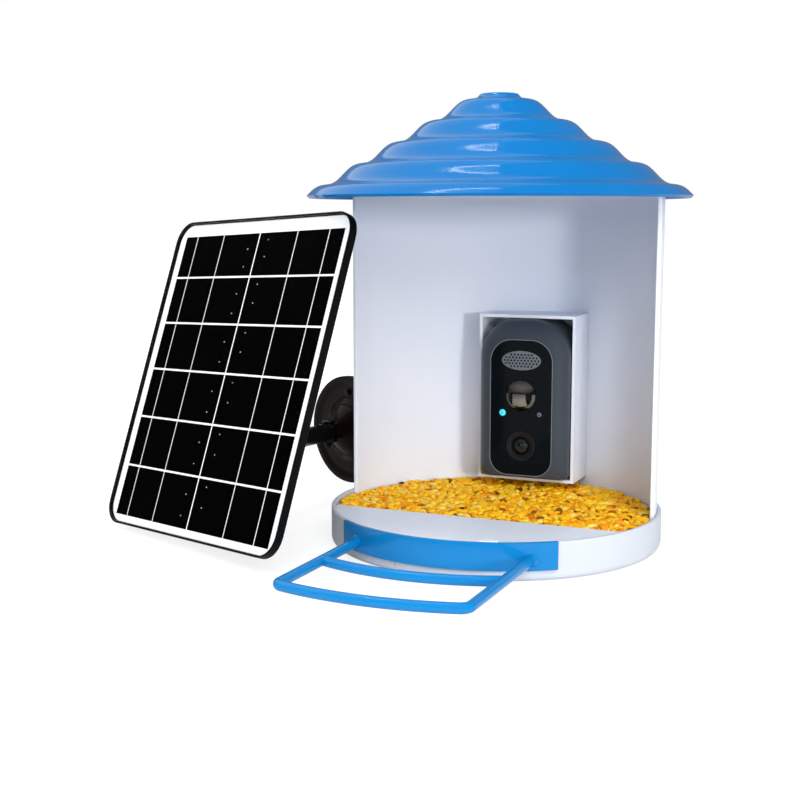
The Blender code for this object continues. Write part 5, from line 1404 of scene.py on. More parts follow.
@dataclass
class CameraUnit(SubAssembly):
    """The camera unit: casing, glossy face, grille, motion lens, lens, light and its parts inside and behind.

    Attributes:
        port_ring: The section of the ring round the microphone's hole, as radius and height.
        lens_steps: The section of the lens ring's steps, as radius and height.
        threads: The section of the barrel's inside.
        light_face: The section of the light's rounded face.
    """

    width: float = 0.060
    bottom: float = 0.0282
    height: float = 0.1036
    front_y: float = 0.048
    depth: float = 0.0351
    wall: float = 0.0022
    top_radius: float = 0.024
    bottom_radius: float = 0.004
    front_round: float = 0.009
    round_steps: int = 14
    side_inset: float = 0.009
    top_inset: float = 0.0125
    bottom_inset: float = 0.0024
    gap: float = 0.0003
    line_overlap: float = 0.0001
    line_rise: float = 0.00012
    line_root: float = 0.0006
    plate_edge: float = 0.0004
    plate_thickness: float = 0.0015
    plate_top_radius: float = 0.0145
    plate_bottom_radius: float = 0.0115
    plate_seat: float = 0.0014
    cut_back: float = 0.004
    cut_front: float = 0.002
    lens_hole: float = 0.0103
    light_hole: float = 0.0024
    port_hole: float = 0.0007
    port_ring: tuple[Pair, ...] = (
        (0.0007, 0.0001),
        (0.0013, 0.00012),
        (0.0015, 0.0),
        (0.0015, -0.0003),
        (0.0007, -0.0003),
    )
    grille_z: float = 0.1058
    grille_half_width: float = 0.0131
    grille_half_height: float = 0.0062
    grille_back: float = 0.0006
    grille_proud: float = 0.0003
    grille_pitch: float = 0.0023
    grille_hole: float = 0.00074
    grille_columns: int = 11
    grille_rows: int = 7
    grille_row_share: float = 0.82
    side_margin: float = 0.0012
    top_margin: float = 0.0010
    motion_z: float = 0.0832
    motion_radius: float = 0.0100
    motion_rise: float = 0.0048
    motion_wall: float = 0.0009
    motion_rim: float = 0.0012
    motion_steps: int = 96
    groove_depth: float = 0.00022
    lens_z: float = 0.0500
    lens_steps: tuple[Pair, ...] = (
        (0.0062, -0.0006),
        (0.0066, -0.00042),
        (0.0072, -0.00042),
        (0.0074, -0.0003),
        (0.0086, -0.00022),
        (0.0088, -0.00005),
        (0.0096, 0.0),
        (0.0100, -0.0002),
        (0.0100, -0.0012),
        (0.0062, -0.0012),
    )
    threads: tuple[Pair, ...] = (
        (0.0047, -0.0014),
        (0.0050, -0.0013),
        (0.0050, -0.0011),
        (0.0053, -0.0010),
        (0.0053, -0.0008),
        (0.0056, -0.0006),
        (0.0059, -0.0008),
    )
    barrel_radius: float = 0.0059
    barrel_seat: float = -0.0028
    barrel_bottom: float = -0.0122
    glass_radius: float = 0.0044
    glass_thickness: float = 0.0014
    glass_crown: float = 0.0007
    light_x: float = 0.0125
    light_z: float = 0.0713
    light_face: tuple[Pair, ...] = ((0, 0.0002), (0.0012, 0.00017), (0.0018, 0.00005), (0.0021, -0.0003))
    light_strength: float = 0.55

    @property
    def place(self) -> Matrix:
        """The unit's frame: X across, Y up, Z out of its face."""
        return facing((0, self.front_y, 0), (0, -1, 0))

    def spot(self, x: float, y: float) -> Matrix:
        """A frame on the unit's face."""
        return self.place @ Matrix.Translation((x, y, 0))

    def outline(self, share: float, inset: float = 0.0) -> list[Pair]:
        """The casing's outline, from its full width at share 0 to its face at share 1."""
        low = self.bottom_radius + (self.plate_bottom_radius - self.bottom_radius) * share
        high = self.top_radius + (self.plate_top_radius - self.top_radius) * share
        return rounded_outline(
            self.width / 2 - self.side_inset * share - inset,
            self.bottom + self.bottom_inset * share + inset,
            self.bottom + self.height - self.top_inset * share - inset,
            max(low - inset, self.gap),
            max(high - inset, self.gap),
            16,
        )

    def ring(self, share: float, inset: float, depth: float) -> list[Triple]:
        """A loop of the casing at a depth behind its face."""
        return [(x, y, -depth) for x, y in self.outline(share, inset)]

    def build(self) -> None:
        """Builds and dresses every piece of the camera unit."""
        self.build_casing()
        self.build_face()
        self.build_motion_lens()
        self.build_lens()
        self.build_light()
        self.refine("camera_rear_cover", Body.CAMERA, SLATE_ABS, 0.0005)
        self.refine("charge_port_flap", Body.FLAP, GREY_RUBBER, 0.0003)
        self.refine("power_button", Body.BUTTON, GREY_RUBBER, 0.0003)
        self.dress(STEEL, "motion_sensor", "microphone", "charge_socket")
        self.dress(BLACK_NYLON, "speaker", "battery_holder")
        self.dress(SOLDER_MASK, "main_board")
        self.dress(CELL_SLEEVE, "battery_cell_1", "battery_cell_2")
        self.dress(BLACK_RUBBER, "housing_seal")

    def build_casing(self) -> None:
        """The slate casing: a front that falls back to full width, a lip round the plate, and a hollow."""
        loops = [self.ring(0, 0, self.depth)]
        for step in range(self.round_steps + 1):
            turn = QUARTER * step / self.round_steps
            loops.append(self.ring(1 - math.cos(turn), 0, self.front_round * (1 - math.sin(turn))))
        edge, floor = self.plate_edge, self.plate_thickness + self.gap
        lip, behind = edge + self.plate_seat, self.front_round
        loops += [self.ring(1, *spot) for spot in ((edge, 0.0), (edge, floor), (lip, floor), (lip, behind))]
        loops += [self.ring(0, self.wall, depth) for depth in (behind, self.depth)]
        casing = Shape(self.place).lofted(loops, back=True)
        self.add(casing.smooth("camera_housing_fine", 0.00015, 2), Body.CAMERA, SLATE_ABS, "camera_housing")
        # A pale ring round the face: a painted highlight on the casing's lip.
        root, rise = self.line_root, -self.line_rise
        section = ((-self.line_overlap, root), (0.0, rise), (edge, rise), (edge, root))
        highlight_ring = Shape(self.place).lofted([self.ring(1, inset, depth) for inset, depth in section], back=True)
        self.add(highlight_ring.smooth("face_edge_line", 0.0001, 2), Body.CAMERA, PAINTED_EDGE_HIGHLIGHT)

    def disc(self, x: float, y: float, radius: float) -> Object:
        """A round cutter through the face."""
        low, high = -self.cut_back, self.cut_front
        profile = [(0, low), (radius, low), (radius, high), (0, high)]
        return Shape(self.spot(x, y)).turned(profile, 64).piece("face_hole")

    def oval(self, grow: float) -> list[Pair]:
        """The grille's outline, grown by a margin."""
        wide, tall = self.grille_half_width + grow, self.grille_half_height + grow
        return [(wide * x, self.grille_z + tall * y) for x, y in circle(1.0, 72)]

    def build_face(self) -> None:
        """The glossy plate with its openings, and the perforated grille."""
        outline = self.outline(1, self.plate_edge + self.gap)
        plate = Shape(self.place).prism(outline, -self.plate_thickness, 0).piece("camera_front_plate_fine")
        cutters = [
            Shape(self.place).prism(self.oval(self.gap), -self.cut_back, self.cut_front).piece("slot"),
            self.disc(0, self.motion_z, self.motion_radius + self.gap),
            self.disc(0, self.lens_z, self.lens_hole),
            self.disc(-self.light_x, self.light_z, self.light_hole),
            self.disc(self.light_x, self.light_z, self.port_hole),
        ]
        plate = softened(carved(plate, *cutters), 0.00035)
        self.add(plate, Body.CAMERA, GLOSS_BLACK, "camera_front_plate")
        grille = Shape(self.place).prism(self.oval(0), -self.grille_back, self.grille_proud)
        punched = self.perforate(grille.data("speaker_grille_fine"))
        self.add(softened(punched, 0.00012, 2), Body.CAMERA, GREY_GRILLE, "speaker_grille")
        ring = Shape(self.spot(self.light_x, self.light_z)).turned(self.port_ring, 32, closed=True)
        self.add(ring.smooth("microphone_port_ring"), Body.CAMERA, GREY_GRILLE)

    def perforate(self, mesh: Mesh) -> Object:
        """Punches rows of small holes through the grille.

        Args:
            mesh: The grille's solid plate.

        Returns:
            The perforated plate.
        """
        maker = Generator("Perforated grille")
        tree = maker.tree
        pitch = maker.size("Pitch", self.grille_pitch)
        hole = maker.size("Hole radius", self.grille_hole)
        columns = maker.size("Columns", self.grille_columns)
        rows = maker.size("Rows", self.grille_rows)
        wide = maker.size("Half width", self.grille_half_width - self.side_margin)
        tall = maker.size("Half height", self.grille_half_height - self.top_margin)
        rise = maker.size("Height of its middle", self.grille_z)
        face = maker.size("Face depth", self.front_y)
        row_pitch = maker.sum("MULTIPLY", pitch, self.grille_row_share)
        across = maker.sum("MULTIPLY", maker.sum("SUBTRACT", columns, 1.0), pitch)
        up = maker.sum("MULTIPLY", maker.sum("SUBTRACT", rows, 1.0), row_pitch)
        sides = {"Size X": across, "Size Y": up, "Vertices X": columns, "Vertices Y": rows}
        grid = add_node(tree, "GeometryNodeMeshGrid", inputs=sides)
        spot = add_node(tree, "GeometryNodeInputPosition")
        place = add_node(tree, "ShaderNodeSeparateXYZ", inputs={0: spot.outputs[0]})
        row = maker.sum("ROUND", maker.sum("DIVIDE", place.outputs[1], row_pitch))
        odd = maker.sum("MULTIPLY", maker.sum("FLOORED_MODULO", row, 2.0), maker.sum("MULTIPLY", pitch, 0.5))
        x = maker.sum("ADD", place.outputs[0], odd)
        share_x = maker.sum("POWER", maker.sum("DIVIDE", x, wide), 2.0)
        share_y = maker.sum("POWER", maker.sum("DIVIDE", place.outputs[1], tall), 2.0)
        settings = {"data_type": "FLOAT", "operation": "LESS_THAN"}
        parts = {0: maker.sum("ADD", share_x, share_y), 1: 1.0}
        inside = add_node(tree, "FunctionNodeCompare", settings, parts)
        marked = add_node(tree, "GeometryNodeCaptureAttribute", inputs={"Geometry": grid.outputs[0]})
        marked.capture_items.new("BOOLEAN", "inside")
        tree.links.new(inside.outputs[0], marked.inputs[1])
        parts = {0: x, 1: face, 2: maker.sum("ADD", place.outputs[1], rise)}
        target = add_node(tree, "ShaderNodeCombineXYZ", inputs=parts)
        parts = {"Geometry": marked.outputs[0], "Position": target.outputs[0]}
        moved = add_node(tree, "GeometryNodeSetPosition", inputs=parts)
        parts = {"Vertices": 10, "Radius": hole, "Depth": self.cut_back}
        punch = add_node(tree, "GeometryNodeMeshCylinder", inputs=parts)
        parts = {"Geometry": punch.outputs[0], "Rotation": (QUARTER, 0, 0)}
        lying = add_node(tree, "GeometryNodeTransform", inputs=parts)
        parts = {"Points": moved.outputs[0], "Instance": lying.outputs[0], "Selection": marked.outputs[1]}
        punches = add_node(tree, "GeometryNodeInstanceOnPoints", inputs=parts)
        real = add_node(tree, "GeometryNodeRealizeInstances", inputs={"Geometry": punches.outputs[0]})
        settings = {"operation": "DIFFERENCE", "solver": "EXACT"}
        parts = {"Mesh 1": maker.base, "Mesh 2": real.outputs[0]}
        cut = add_node(tree, "GeometryNodeMeshBoolean", settings, parts)
        return maker.run("speaker_grille_fine", cut.outputs[0], GREY_GRILLE, mesh)

    def build_motion_lens(self) -> None:
        """The domed motion lens: a cap facet, a ring of facets below it and grooves between them."""
        shape = Shape(self.spot(0, self.motion_z))
        radius, rise, wall = self.motion_radius, self.motion_rise, self.motion_wall

        def ring(out: float, height: float, depth: float = 0.0) -> list[Vertex]:
            """A ring of points, or the pole, with the grooves pressed in to a depth."""
            if out == 0:
                return [shape.point(0, 0, height)]
            spots = circle(out, self.motion_steps)
            return [shape.point(x, y, height - depth * self.groove(x / radius, y / radius)) for x, y in spots]

        sphere = dome_radius(radius, rise)
        half = math.asin(radius / sphere)
        rings = []
        for share in [0.0] + [0.08 + 0.92 * i / 22 for i in range(23)]:
            angle = half * share
            height = rise - sphere + sphere * math.cos(angle)
            rings.append(ring(sphere * math.sin(angle), height, self.groove_depth * (1 - share**6)))
        rim, back = radius + self.motion_rim, -self.plate_thickness - self.gap
        end = back - wall
        rings += [ring(radius, back), ring(rim, back), ring(rim, end), ring(radius - wall, end)]
        sphere = dome_radius(radius - wall, rise - wall)
        half = math.asin((radius - wall) / sphere)
        for i in range(8, -1, -1):
            angle = half * i / 8
            rings.append(ring(sphere * math.sin(angle), rise - wall - sphere + sphere * math.cos(angle)))
        mesh = shape.rings(rings).data("motion_lens_fine")
        # Painted highlights: each facet's brightness goes into the "tone" attribute, lighter on the left
        # facets.
        tone = mesh.attributes.new("tone", "FLOAT", "POINT")
        turn = self.spot(0, self.motion_z).inverted()
        for i, vertex in enumerate(mesh.vertices):
            x, y, z = turn @ vertex.co
            tone.data[i].value = self.painted_highlight(x / radius, y / radius) if z > 0 else 0.0
        lens = softened(linked("motion_lens_fine", mesh), 0)
        self.add(lens, Body.CAMERA, MOTION_LENS, "motion_lens")

    def groove(self, x: float, y: float) -> float:
        """How deep the groove between two facets is, from 0 to 1, at a place in shares of the radius.

        A bowed line parts the upper facet from the rest. Below it two upright lines part the middle facet
        from the side ones, and a circle parts those from the rim.
        """
        lines = [abs(y - 0.24 + 0.2 * x * x)]
        if y < 0.24:
            lines += [abs(abs(x) - 0.46 - 0.08 * (0.17 - y)), abs(math.hypot(x, y + 0.05) - 0.80)]
        return max(0.0, 1 - min(lines) / 0.05)

    def painted_highlight(self, x: float, y: float) -> float:
        """How bright the painted highlight on a facet is, from 0 to 1, at a place in shares of the lens
        radius.
        """
        away = math.hypot(x, y)
        if y > 0.24 - 0.2 * x * x:
            return max(0.0, 0.34 - 0.55 * abs(y - 0.58) - 0.25 * x * x) if away < 0.98 else 0.08
        if abs(x) < 0.42 + 0.08 * (0.17 - y) and -0.68 < y < 0.15:
            return 0.22 + 0.62 * min(1.0, max(0.0, 0.15 - y) / 0.45)
        if 0.82 < away < 0.97 and -0.78 < y < 0.18:
            return 0.62 if x < 0 else 0.45
        return 0.0

    def build_lens(self) -> None:
        """The stepped ring, the barrel with its threads and the coated front glass."""
        place = self.spot(0, self.lens_z)
        ring = Shape(place).turned(self.lens_steps, 96, closed=True)
        self.add(ring.smooth("lens_ring_fine"), Body.CAMERA, BLACK_RING, "lens_ring")
        seat, bottom = self.barrel_seat, self.barrel_bottom
        inside = [(0, seat), (self.threads[0][0], seat), *self.threads]
        barrel = Shape(place).turned([*inside, (self.barrel_radius, bottom), (0, bottom)], 96)
        self.add(barrel.smooth("lens_barrel_fine"), Body.CAMERA, BLACK_NYLON, "lens_barrel")
        radius, low = self.glass_radius, seat + self.gap
        top = low + self.glass_thickness
        sphere = dome_radius(radius, self.glass_crown)
        half = math.asin(radius / sphere)
        angles = [half * i / 12 for i in range(1, 13)]
        bulge = [(sphere * math.sin(a), top - sphere + sphere * math.cos(a)) for a in angles]
        glass = Shape(place).turned([(0, top), *bulge, (radius, low), (0, low)], 72)
        middle = tuple(place @ Vector((0, 0, top)))
        # The violet edge and the green ring are painted reflections of the coating.
        coated = CoatedLens("Coated optical glass", "lens_glass", "#2A1733", middle, radius)
        self.add(glass.smooth("lens_glass_fine"), Body.CAMERA, coated, "lens_glass")

    def build_light(self) -> None:
        """The status light's pipe with a rounded face."""
        place = self.spot(-self.light_x, self.light_z)
        radius = self.light_face[-1][0]
        profile = [*self.light_face, (radius, self.barrel_bottom), (0, self.barrel_bottom)]
        middle = tuple(place @ Vector((0, 0, self.light_face[0][1])))
        lit = LitPipe("Light pipe, lit cyan", "cyan_light", "#4BE3EE", middle, radius, self.light_strength)
        pipe = Shape(place).turned(profile, 40)
        self.add(pipe.smooth("status_light_fine"), Body.CAMERA, lit, "status_light")


@dataclass
class WallBracket(SubAssembly):
    """The saddle and ear on the shell, the dished flange, the domed hub and the arm."""

    ear_angle: float = math.radians(23.5)
    ear_reach: float = 0.1463
    ear_set_back: float = 0.0105
    ear_z: float = 0.050
    radius: float = 0.0375
    rim_height: float = 0.005
    rim_width: float = 0.0035
    rim_round: float = 0.0011
    dish_height: float = 0.0036
    dish_radius: float = 0.030
    seat_height: float = 0.0065
    seat_radius: float = 0.019
    seat_round: float = 0.0012
    foot_edge: float = 0.0004
    bore: float = 0.0053
    screw_circle: float = 0.0265

    @property
    def place(self) -> Matrix:
        """The flange's frame: Z out of its face, X towards the shell."""
        normal = Vector((-math.sin(self.ear_angle), -math.cos(self.ear_angle), 0))
        across = Vector((math.cos(self.ear_angle), -math.sin(self.ear_angle), 0))
        return facing(-across * self.ear_reach - normal * self.ear_set_back + UP * self.ear_z, normal)

    def build(self) -> None:
        """Builds the flange and rounds the rest."""
        self.refine("side_bracket", Body.FEEDER, WHITE_ABS, 0.0007)
        flange = Shape(self.place).turned(self.section(), 144, closed=True)
        self.add(flange.smooth("bracket_flange_fine"), Body.FEEDER, DARK_ABS, "bracket_flange")
        self.refine("swivel_hub", Body.HUB, DARK_ABS, 0.0003)
        self.refine("panel_arm", Body.ARM, BLACK_ABS, 0.0006)
        self.refine("shoulder_bolt", Body.ARM, DARK_STEEL, 0.0003)
        self.refine("panel_knuckle", Body.KNUCKLE, BLACK_ABS, 0.0005)
        self.refine("elbow_bolt", Body.KNUCKLE, DARK_STEEL, 0.0003)
        self.refine("clamp_knob", Body.KNOB, BLACK_ABS, 0.0008)

    def section(self) -> list[Pair]:
        """The flange's section: a raised seat for the hub, a shallow dish with soft corners, and a rim."""
        top, dish, seat, bend = self.rim_height, self.dish_height, self.seat_round, self.rim_round
        foot, inner, slope = self.foot_edge, self.radius - self.rim_width, self.seat_radius + self.rim_width
        profile = [(self.bore, self.seat_height)]
        profile += arc((self.seat_radius - seat, self.seat_height - seat), seat, QUARTER, QUARTER / 2, 4)
        profile += [(slope - 0.0006, dish + 0.0003), (slope + 0.0006, dish)]
        profile += [(self.dish_radius - 0.0008, dish), (self.dish_radius + 0.0006, dish + 0.0002)]
        profile += [(inner - 0.0004, top - 0.0002), (inner + 0.0004, top)]
        profile += arc((self.radius - bend, top - bend), bend, QUARTER, 0, 6)
        return profile + [(self.radius, foot), (self.radius - foot, 0.0), (self.bore, 0.0)]

    def flange_seats(self) -> list[Matrix]:
        """Frames in the dish for the flange's screws."""
        angles = [QUARTER + TURN * i / 3 for i in range(3)]
        spots = [(self.screw_circle * math.cos(a), self.screw_circle * math.sin(a)) for a in angles]
        return [self.place @ Matrix.Translation((x, y, self.dish_height)) for x, y in spots]


@dataclass
class SolarPanel(SubAssembly):
    """The solar panel: frame, glass, cells on their back sheet, back cover, junction box and gland.

    Attributes:
        rows: The heights of the white lines between the rows of cells, from the panel's middle.
        columns: The places of the upright lines, as shares of the cell field.
        dots: The solder dots in a row of cells, as shares across the field and down the row.
    """

    centre: Triple = (-0.1494, -0.0742, 0.1027)
    yaw: float = math.radians(25.7)
    tilt: float = math.radians(19.9)
    roll: float = math.radians(2.8)
    width: float = 0.1805
    height: float = 0.2015
    corner: float = 0.014
    wall: float = 0.0012
    ledge: float = 0.005
    ledge_thickness: float = 0.0016
    recess: float = 0.0004
    glass: float = 0.0016
    sheet: float = 0.0008
    gap: float = 0.0003
    field_half: float = 0.0823
    field_low: float = -0.0948
    field_high: float = 0.0912
    cell_rise: float = 0.00005
    line: float = 0.0012
    upright_line: float = 0.0007
    middle_line: float = 0.0010
    rows: tuple[float, ...] = (0.0632, 0.0326, 0.0016, -0.0303, -0.0626)
    columns: tuple[float, ...] = (0.081, 0.264, 0.5, 0.732, 0.916)
    dots: tuple[Pair, ...] = ((0.561, 0.16), (0.443, 0.36), (0.561, 0.55), (0.443, 0.77))
    dot_radius: float = 0.00034
    dot_depth: float = 0.00008
    screw_inset: float = 0.0042

    @property
    def place(self) -> Matrix:
        """The panel's frame: X across, Y up its face, Z out of its face."""
        flat = math.cos(self.tilt)
        normal = Vector((-math.sin(self.yaw) * flat, -math.cos(self.yaw) * flat, math.sin(self.tilt)))
        return facing(self.centre, normal) @ Matrix.Rotation(self.roll, 4, "Z")

    def outline(self, inset: float) -> list[Pair]:
        """The panel's outline, set in from its edge."""
        half, tall, radius = (size - inset for size in (self.width / 2, self.height / 2, self.corner))
        return rounded_outline(half, -tall, tall, radius, radius, 14)

    def build(self) -> None:
        """Builds the panel's pieces."""
        pane = -self.recess - self.glass
        front = pane - self.sheet - 2 * self.gap
        back = front - self.ledge_thickness
        wall, inner, inside = self.wall, self.wall + self.ledge, self.wall + self.gap
        section = [(0.0, back), (0.0, 0.0), (wall, 0.0), (wall, front), (inner, front), (inner, back)]
        rim = Shape(self.place)
        rim.rings([rim.loop(self.outline(inset), height) for inset, height in section], back=True)
        self.add(rim.smooth("panel_frame_fine", 0.0004), Body.PANEL, BLACK_NYLON, "panel_frame")
        glass = Shape(self.place).prism(self.outline(inside), pane, -self.recess)
        self.add(glass.smooth("panel_glass_fine", 0.0002), Body.PANEL, PANEL_GLASS, "panel_glass")
        top = pane - self.gap
        face = top - 2 * self.cell_rise
        sheet = Shape(self.place).prism(self.outline(inside), top - self.sheet, face)
        self.add(sheet.smooth("solar_back_sheet", 0.0001), Body.PANEL, BACK_SHEET, "solar_cell_sheet")
        self.add(self.cells(face).smooth("solar_cells_fine"), Body.PANEL, SILICON)
        self.add(self.build_dots(top - self.cell_rise), Body.PANEL, BACK_SHEET)
        self.refine("panel_back_cover", Body.PANEL, COVER_NYLON, 0.0005)
        self.refine("junction_box", Body.PANEL, COVER_NYLON, 0.0012)
        self.refine("cable_gland", Body.PANEL, BLACK_RUBBER, 0.0003)

    def across(self, share: float) -> float:
        """The place across the panel of a share of the cell field."""
        return -self.field_half + 2 * self.field_half * share

    def cells(self, low: float) -> Shape:
        """The silicon cells: thin plates on the back sheet's face with the white lines left between them."""
        shape = Shape(self.place)
        lines = [self.field_low, *sorted(self.rows), self.field_high]
        uprights = [0.0, *self.columns, 1.0]
        half = self.line / 2
        for i, (bottom, top) in enumerate(zip(lines, lines[1:])):
            y0, y1 = bottom + (half if i else 0), top - (half if i < len(self.rows) else 0)
            for j, (left, right) in enumerate(zip(uprights, uprights[1:])):
                widths = [self.middle_line if x == 0.5 else self.upright_line for x in (left, right)]
                x0 = self.across(left) + (widths[0] / 2 if j else 0)
                x1 = self.across(right) - (widths[1] / 2 if j < len(self.columns) else 0)
                outline = [(x0, y0), (x1, y0), (x1, y1), (x0, y1)]
                shape.prism(outline, low - self.cell_rise, low + self.cell_rise)
        return shape

    def build_dots(self, height: float) -> Object:
        """The solder dots, four in each row beside the middle line.

        Args:
            height: The height of the cells' faces.

        Returns:
            The dots as one object.
        """
        lines = sorted([self.field_low, *self.rows, self.field_high], reverse=True)
        spots = Shape(self.place)
        for high, low in zip(lines, lines[1:]):
            for share, down in self.dots:
                spots.point(self.across(share), high + (low - high) * down, height)
        maker = Generator("Solder dots")
        radius = maker.size("Dot radius", self.dot_radius)
        around = maker.size("Points around", 12)
        parts = {"Vertices": around, "Radius": radius, "Depth": self.dot_depth}
        dot = add_node(maker.tree, "GeometryNodeMeshCylinder", inputs=parts)
        parts = {"Points": maker.base, "Instance": dot.outputs[0], "Rotation": tuple(self.place.to_euler())}
        placed = add_node(maker.tree, "GeometryNodeInstanceOnPoints", inputs=parts)
        return maker.run("solder_dots", placed.outputs[0], BACK_SHEET, spots.data("solder_dots"))

    def screw_seats(self) -> list[Matrix]:
        """Frames on the back cover for its screws."""
        deep = -self.recess - self.glass - self.sheet - 3 * self.gap - 2 * self.ledge_thickness
        x = self.width / 2 - self.corner - self.screw_inset
        y = self.height / 2 - self.screw_inset
        turn = Matrix.Rotation(math.pi, 4, "Y")
        return [self.place @ Matrix.Translation((a, b, deep)) @ turn for b in (-y, y) for a in (-x, x)]


@dataclass
class Screws(SubAssembly):
    """Pan-head screws with a cross recess, placed by Geometry Nodes on each body."""

    head: float = 0.0028
    rise: float = 0.0015
    dome: float = 0.0035
    dome_near: float = 0.12
    dome_far: float = 0.72
    rim: float = 0.0004
    shank: float = 0.0012
    length: float = 0.0036
    arm_reach: float = 0.0015
    arm_half: float = 0.0003
    arm_depth: float = 0.0008
    arm_taper: float = 0.6
    arm_tall: float = 0.003
    small_share: float = 0.68
    gap: float = 0.0003
    shell: float = 0.0982
    band_inside: float = 0.0985
    perch_z: float = 0.0145
    perch_angle: float = math.radians(19)
    pocket_angle: float = math.radians(12)
    saddle_angle: float = math.radians(9.5)
    saddle_out: float = 0.1015
    seal: float = 0.0008
    cover: float = 0.0018
    low_inset: Pair = (0.005, 0.0055)
    high_inset: Pair = (0.0075, 0.0135)

    def template(self) -> Object:
        """One screw at the origin: domed head, cross recess and a short shank."""
        near, far = QUARTER - self.dome_near, QUARTER - self.dome_far
        profile = [(0, self.rise), *arc((0, self.rise - self.dome), self.dome, near, far, 6)]
        profile += [(self.head, self.rim), (self.head, 0.0), (self.shank, 0.0)]
        profile += [(self.shank, -self.length), (0, -self.length)]
        screw = Shape(Matrix.Translation((0, 0, self.gap))).turned(profile, 28).piece("screw")
        deep = self.rise + self.gap - self.arm_depth
        x, y = self.arm_reach, self.arm_half
        outline = ((-x, -y), (x, -y), (x, y), (-x, y))
        arms = []
        for turn in (0, QUARTER):
            arm = Shape(Matrix.Rotation(turn, 4, "Z"))
            foot = arm.loop([(a * self.arm_taper, b * self.arm_taper) for a, b in outline], deep)
            arms.append(arm.rings([foot, arm.loop(outline, deep + self.arm_tall)], caps=True).piece("recess"))
        return carved(screw, *arms)

    def place(
        self,
        name: str,
        body: Body,
        seats: Sequence[Matrix],
        finish: Finish,
        nodes: Sequence[str],
        share: float = 1.0,
    ) -> None:
        """Puts a screw on each seat of one body.

        Args:
            name: The piece's name.
            body: The body that the screws ride on.
            seats: Their frames.
            finish: Their finish.
            nodes: The CAD nodes that they stand for.
            share: Their share of the full size.
        """
        template = self.template()
        template.hide_render = True
        spots = Shape()
        for seat in seats:
            spots.point(*seat.translation)
        mesh = spots.data(name)
        turns = mesh.attributes.new("turn", "FLOAT_VECTOR", "POINT")
        for i, seat in enumerate(seats):
            turns.data[i].vector = Vector(seat.to_euler())
        maker = Generator(f"Screw seats, {name}")
        tree = maker.tree
        scale = maker.size("Scale", share)
        settings = {"transform_space": "ORIGINAL"}
        source = add_node(tree, "GeometryNodeObjectInfo", settings, {"Object": template})
        settings = {"data_type": "FLOAT_VECTOR"}
        turn = add_node(tree, "GeometryNodeInputNamedAttribute", settings, {"Name": "turn"})
        parts = {
            "Points": maker.base,
            "Instance": source.outputs["Geometry"],
            "Rotation": turn.outputs[0],
            "Scale": scale,
        }
        placed = add_node(tree, "GeometryNodeInstanceOnPoints", inputs=parts)
        obj = maker.run(name, placed.outputs[0], finish, mesh)
        bpy.data.objects.remove(template)
        self.add(softened(obj, 0), body, finish, *nodes)

    def build(self, bracket: WallBracket, panel: SolarPanel, camera: CameraUnit) -> None:
        """Places all the screws.

        Args:
            bracket: The bracket, for its flange and saddle.
            panel: The panel, for its back cover.
            camera: The camera unit, for its rear cover.
        """
        sides, fixed = (-1, 1), []
        for side in sides:
            out = Vector((math.sin(side * self.perch_angle), -math.cos(self.perch_angle), 0))
            fixed.append(facing(out * self.band_inside + UP * self.perch_z, -out))
        middle = camera.bottom + camera.height / 2
        fixed += [outward(side * self.pocket_angle, self.shell, middle) for side in sides]
        heading = QUARTER - bracket.ear_angle - math.asin(bracket.ear_set_back / self.shell)
        saddle = [heading + side * self.saddle_angle for side in sides]
        fixed += [outward(angle, self.saddle_out, bracket.ear_z) for angle in saddle]
        names = [f"{kind}_screw_{i}" for kind in ("perch", "pocket", "saddle") for i in (1, 2)]
        self.place("feeder_screws", Body.FEEDER, fixed, STEEL, names)
        names = [f"flange_screw_{i}" for i in (1, 2, 3)]
        self.place("flange_screws", Body.FEEDER, bracket.flange_seats(), DARK_STEEL, names)
        back = camera.front_y + camera.depth + self.seal + 2 * camera.gap + self.cover
        (low_x, low_z), (high_x, high_z) = self.low_inset, self.high_inset
        corners = [(camera.width / 2 - low_x, camera.bottom + low_z)]
        corners.append((camera.width / 2 - high_x, camera.bottom + camera.height - high_z))
        seats = [facing((side * x, back, z), (0, 1, 0)) for x, z in corners for side in sides]
        names = [f"rear_cover_screw_{i}" for i in (1, 2, 3, 4)]
        self.place("rear_cover_screws", Body.CAMERA, seats, STEEL, names, self.small_share)
        names = [f"panel_screw_{i}" for i in (1, 2, 3, 4)]
        self.place("panel_screws", Body.PANEL, panel.screw_seats(), STEEL, names, self.small_share)


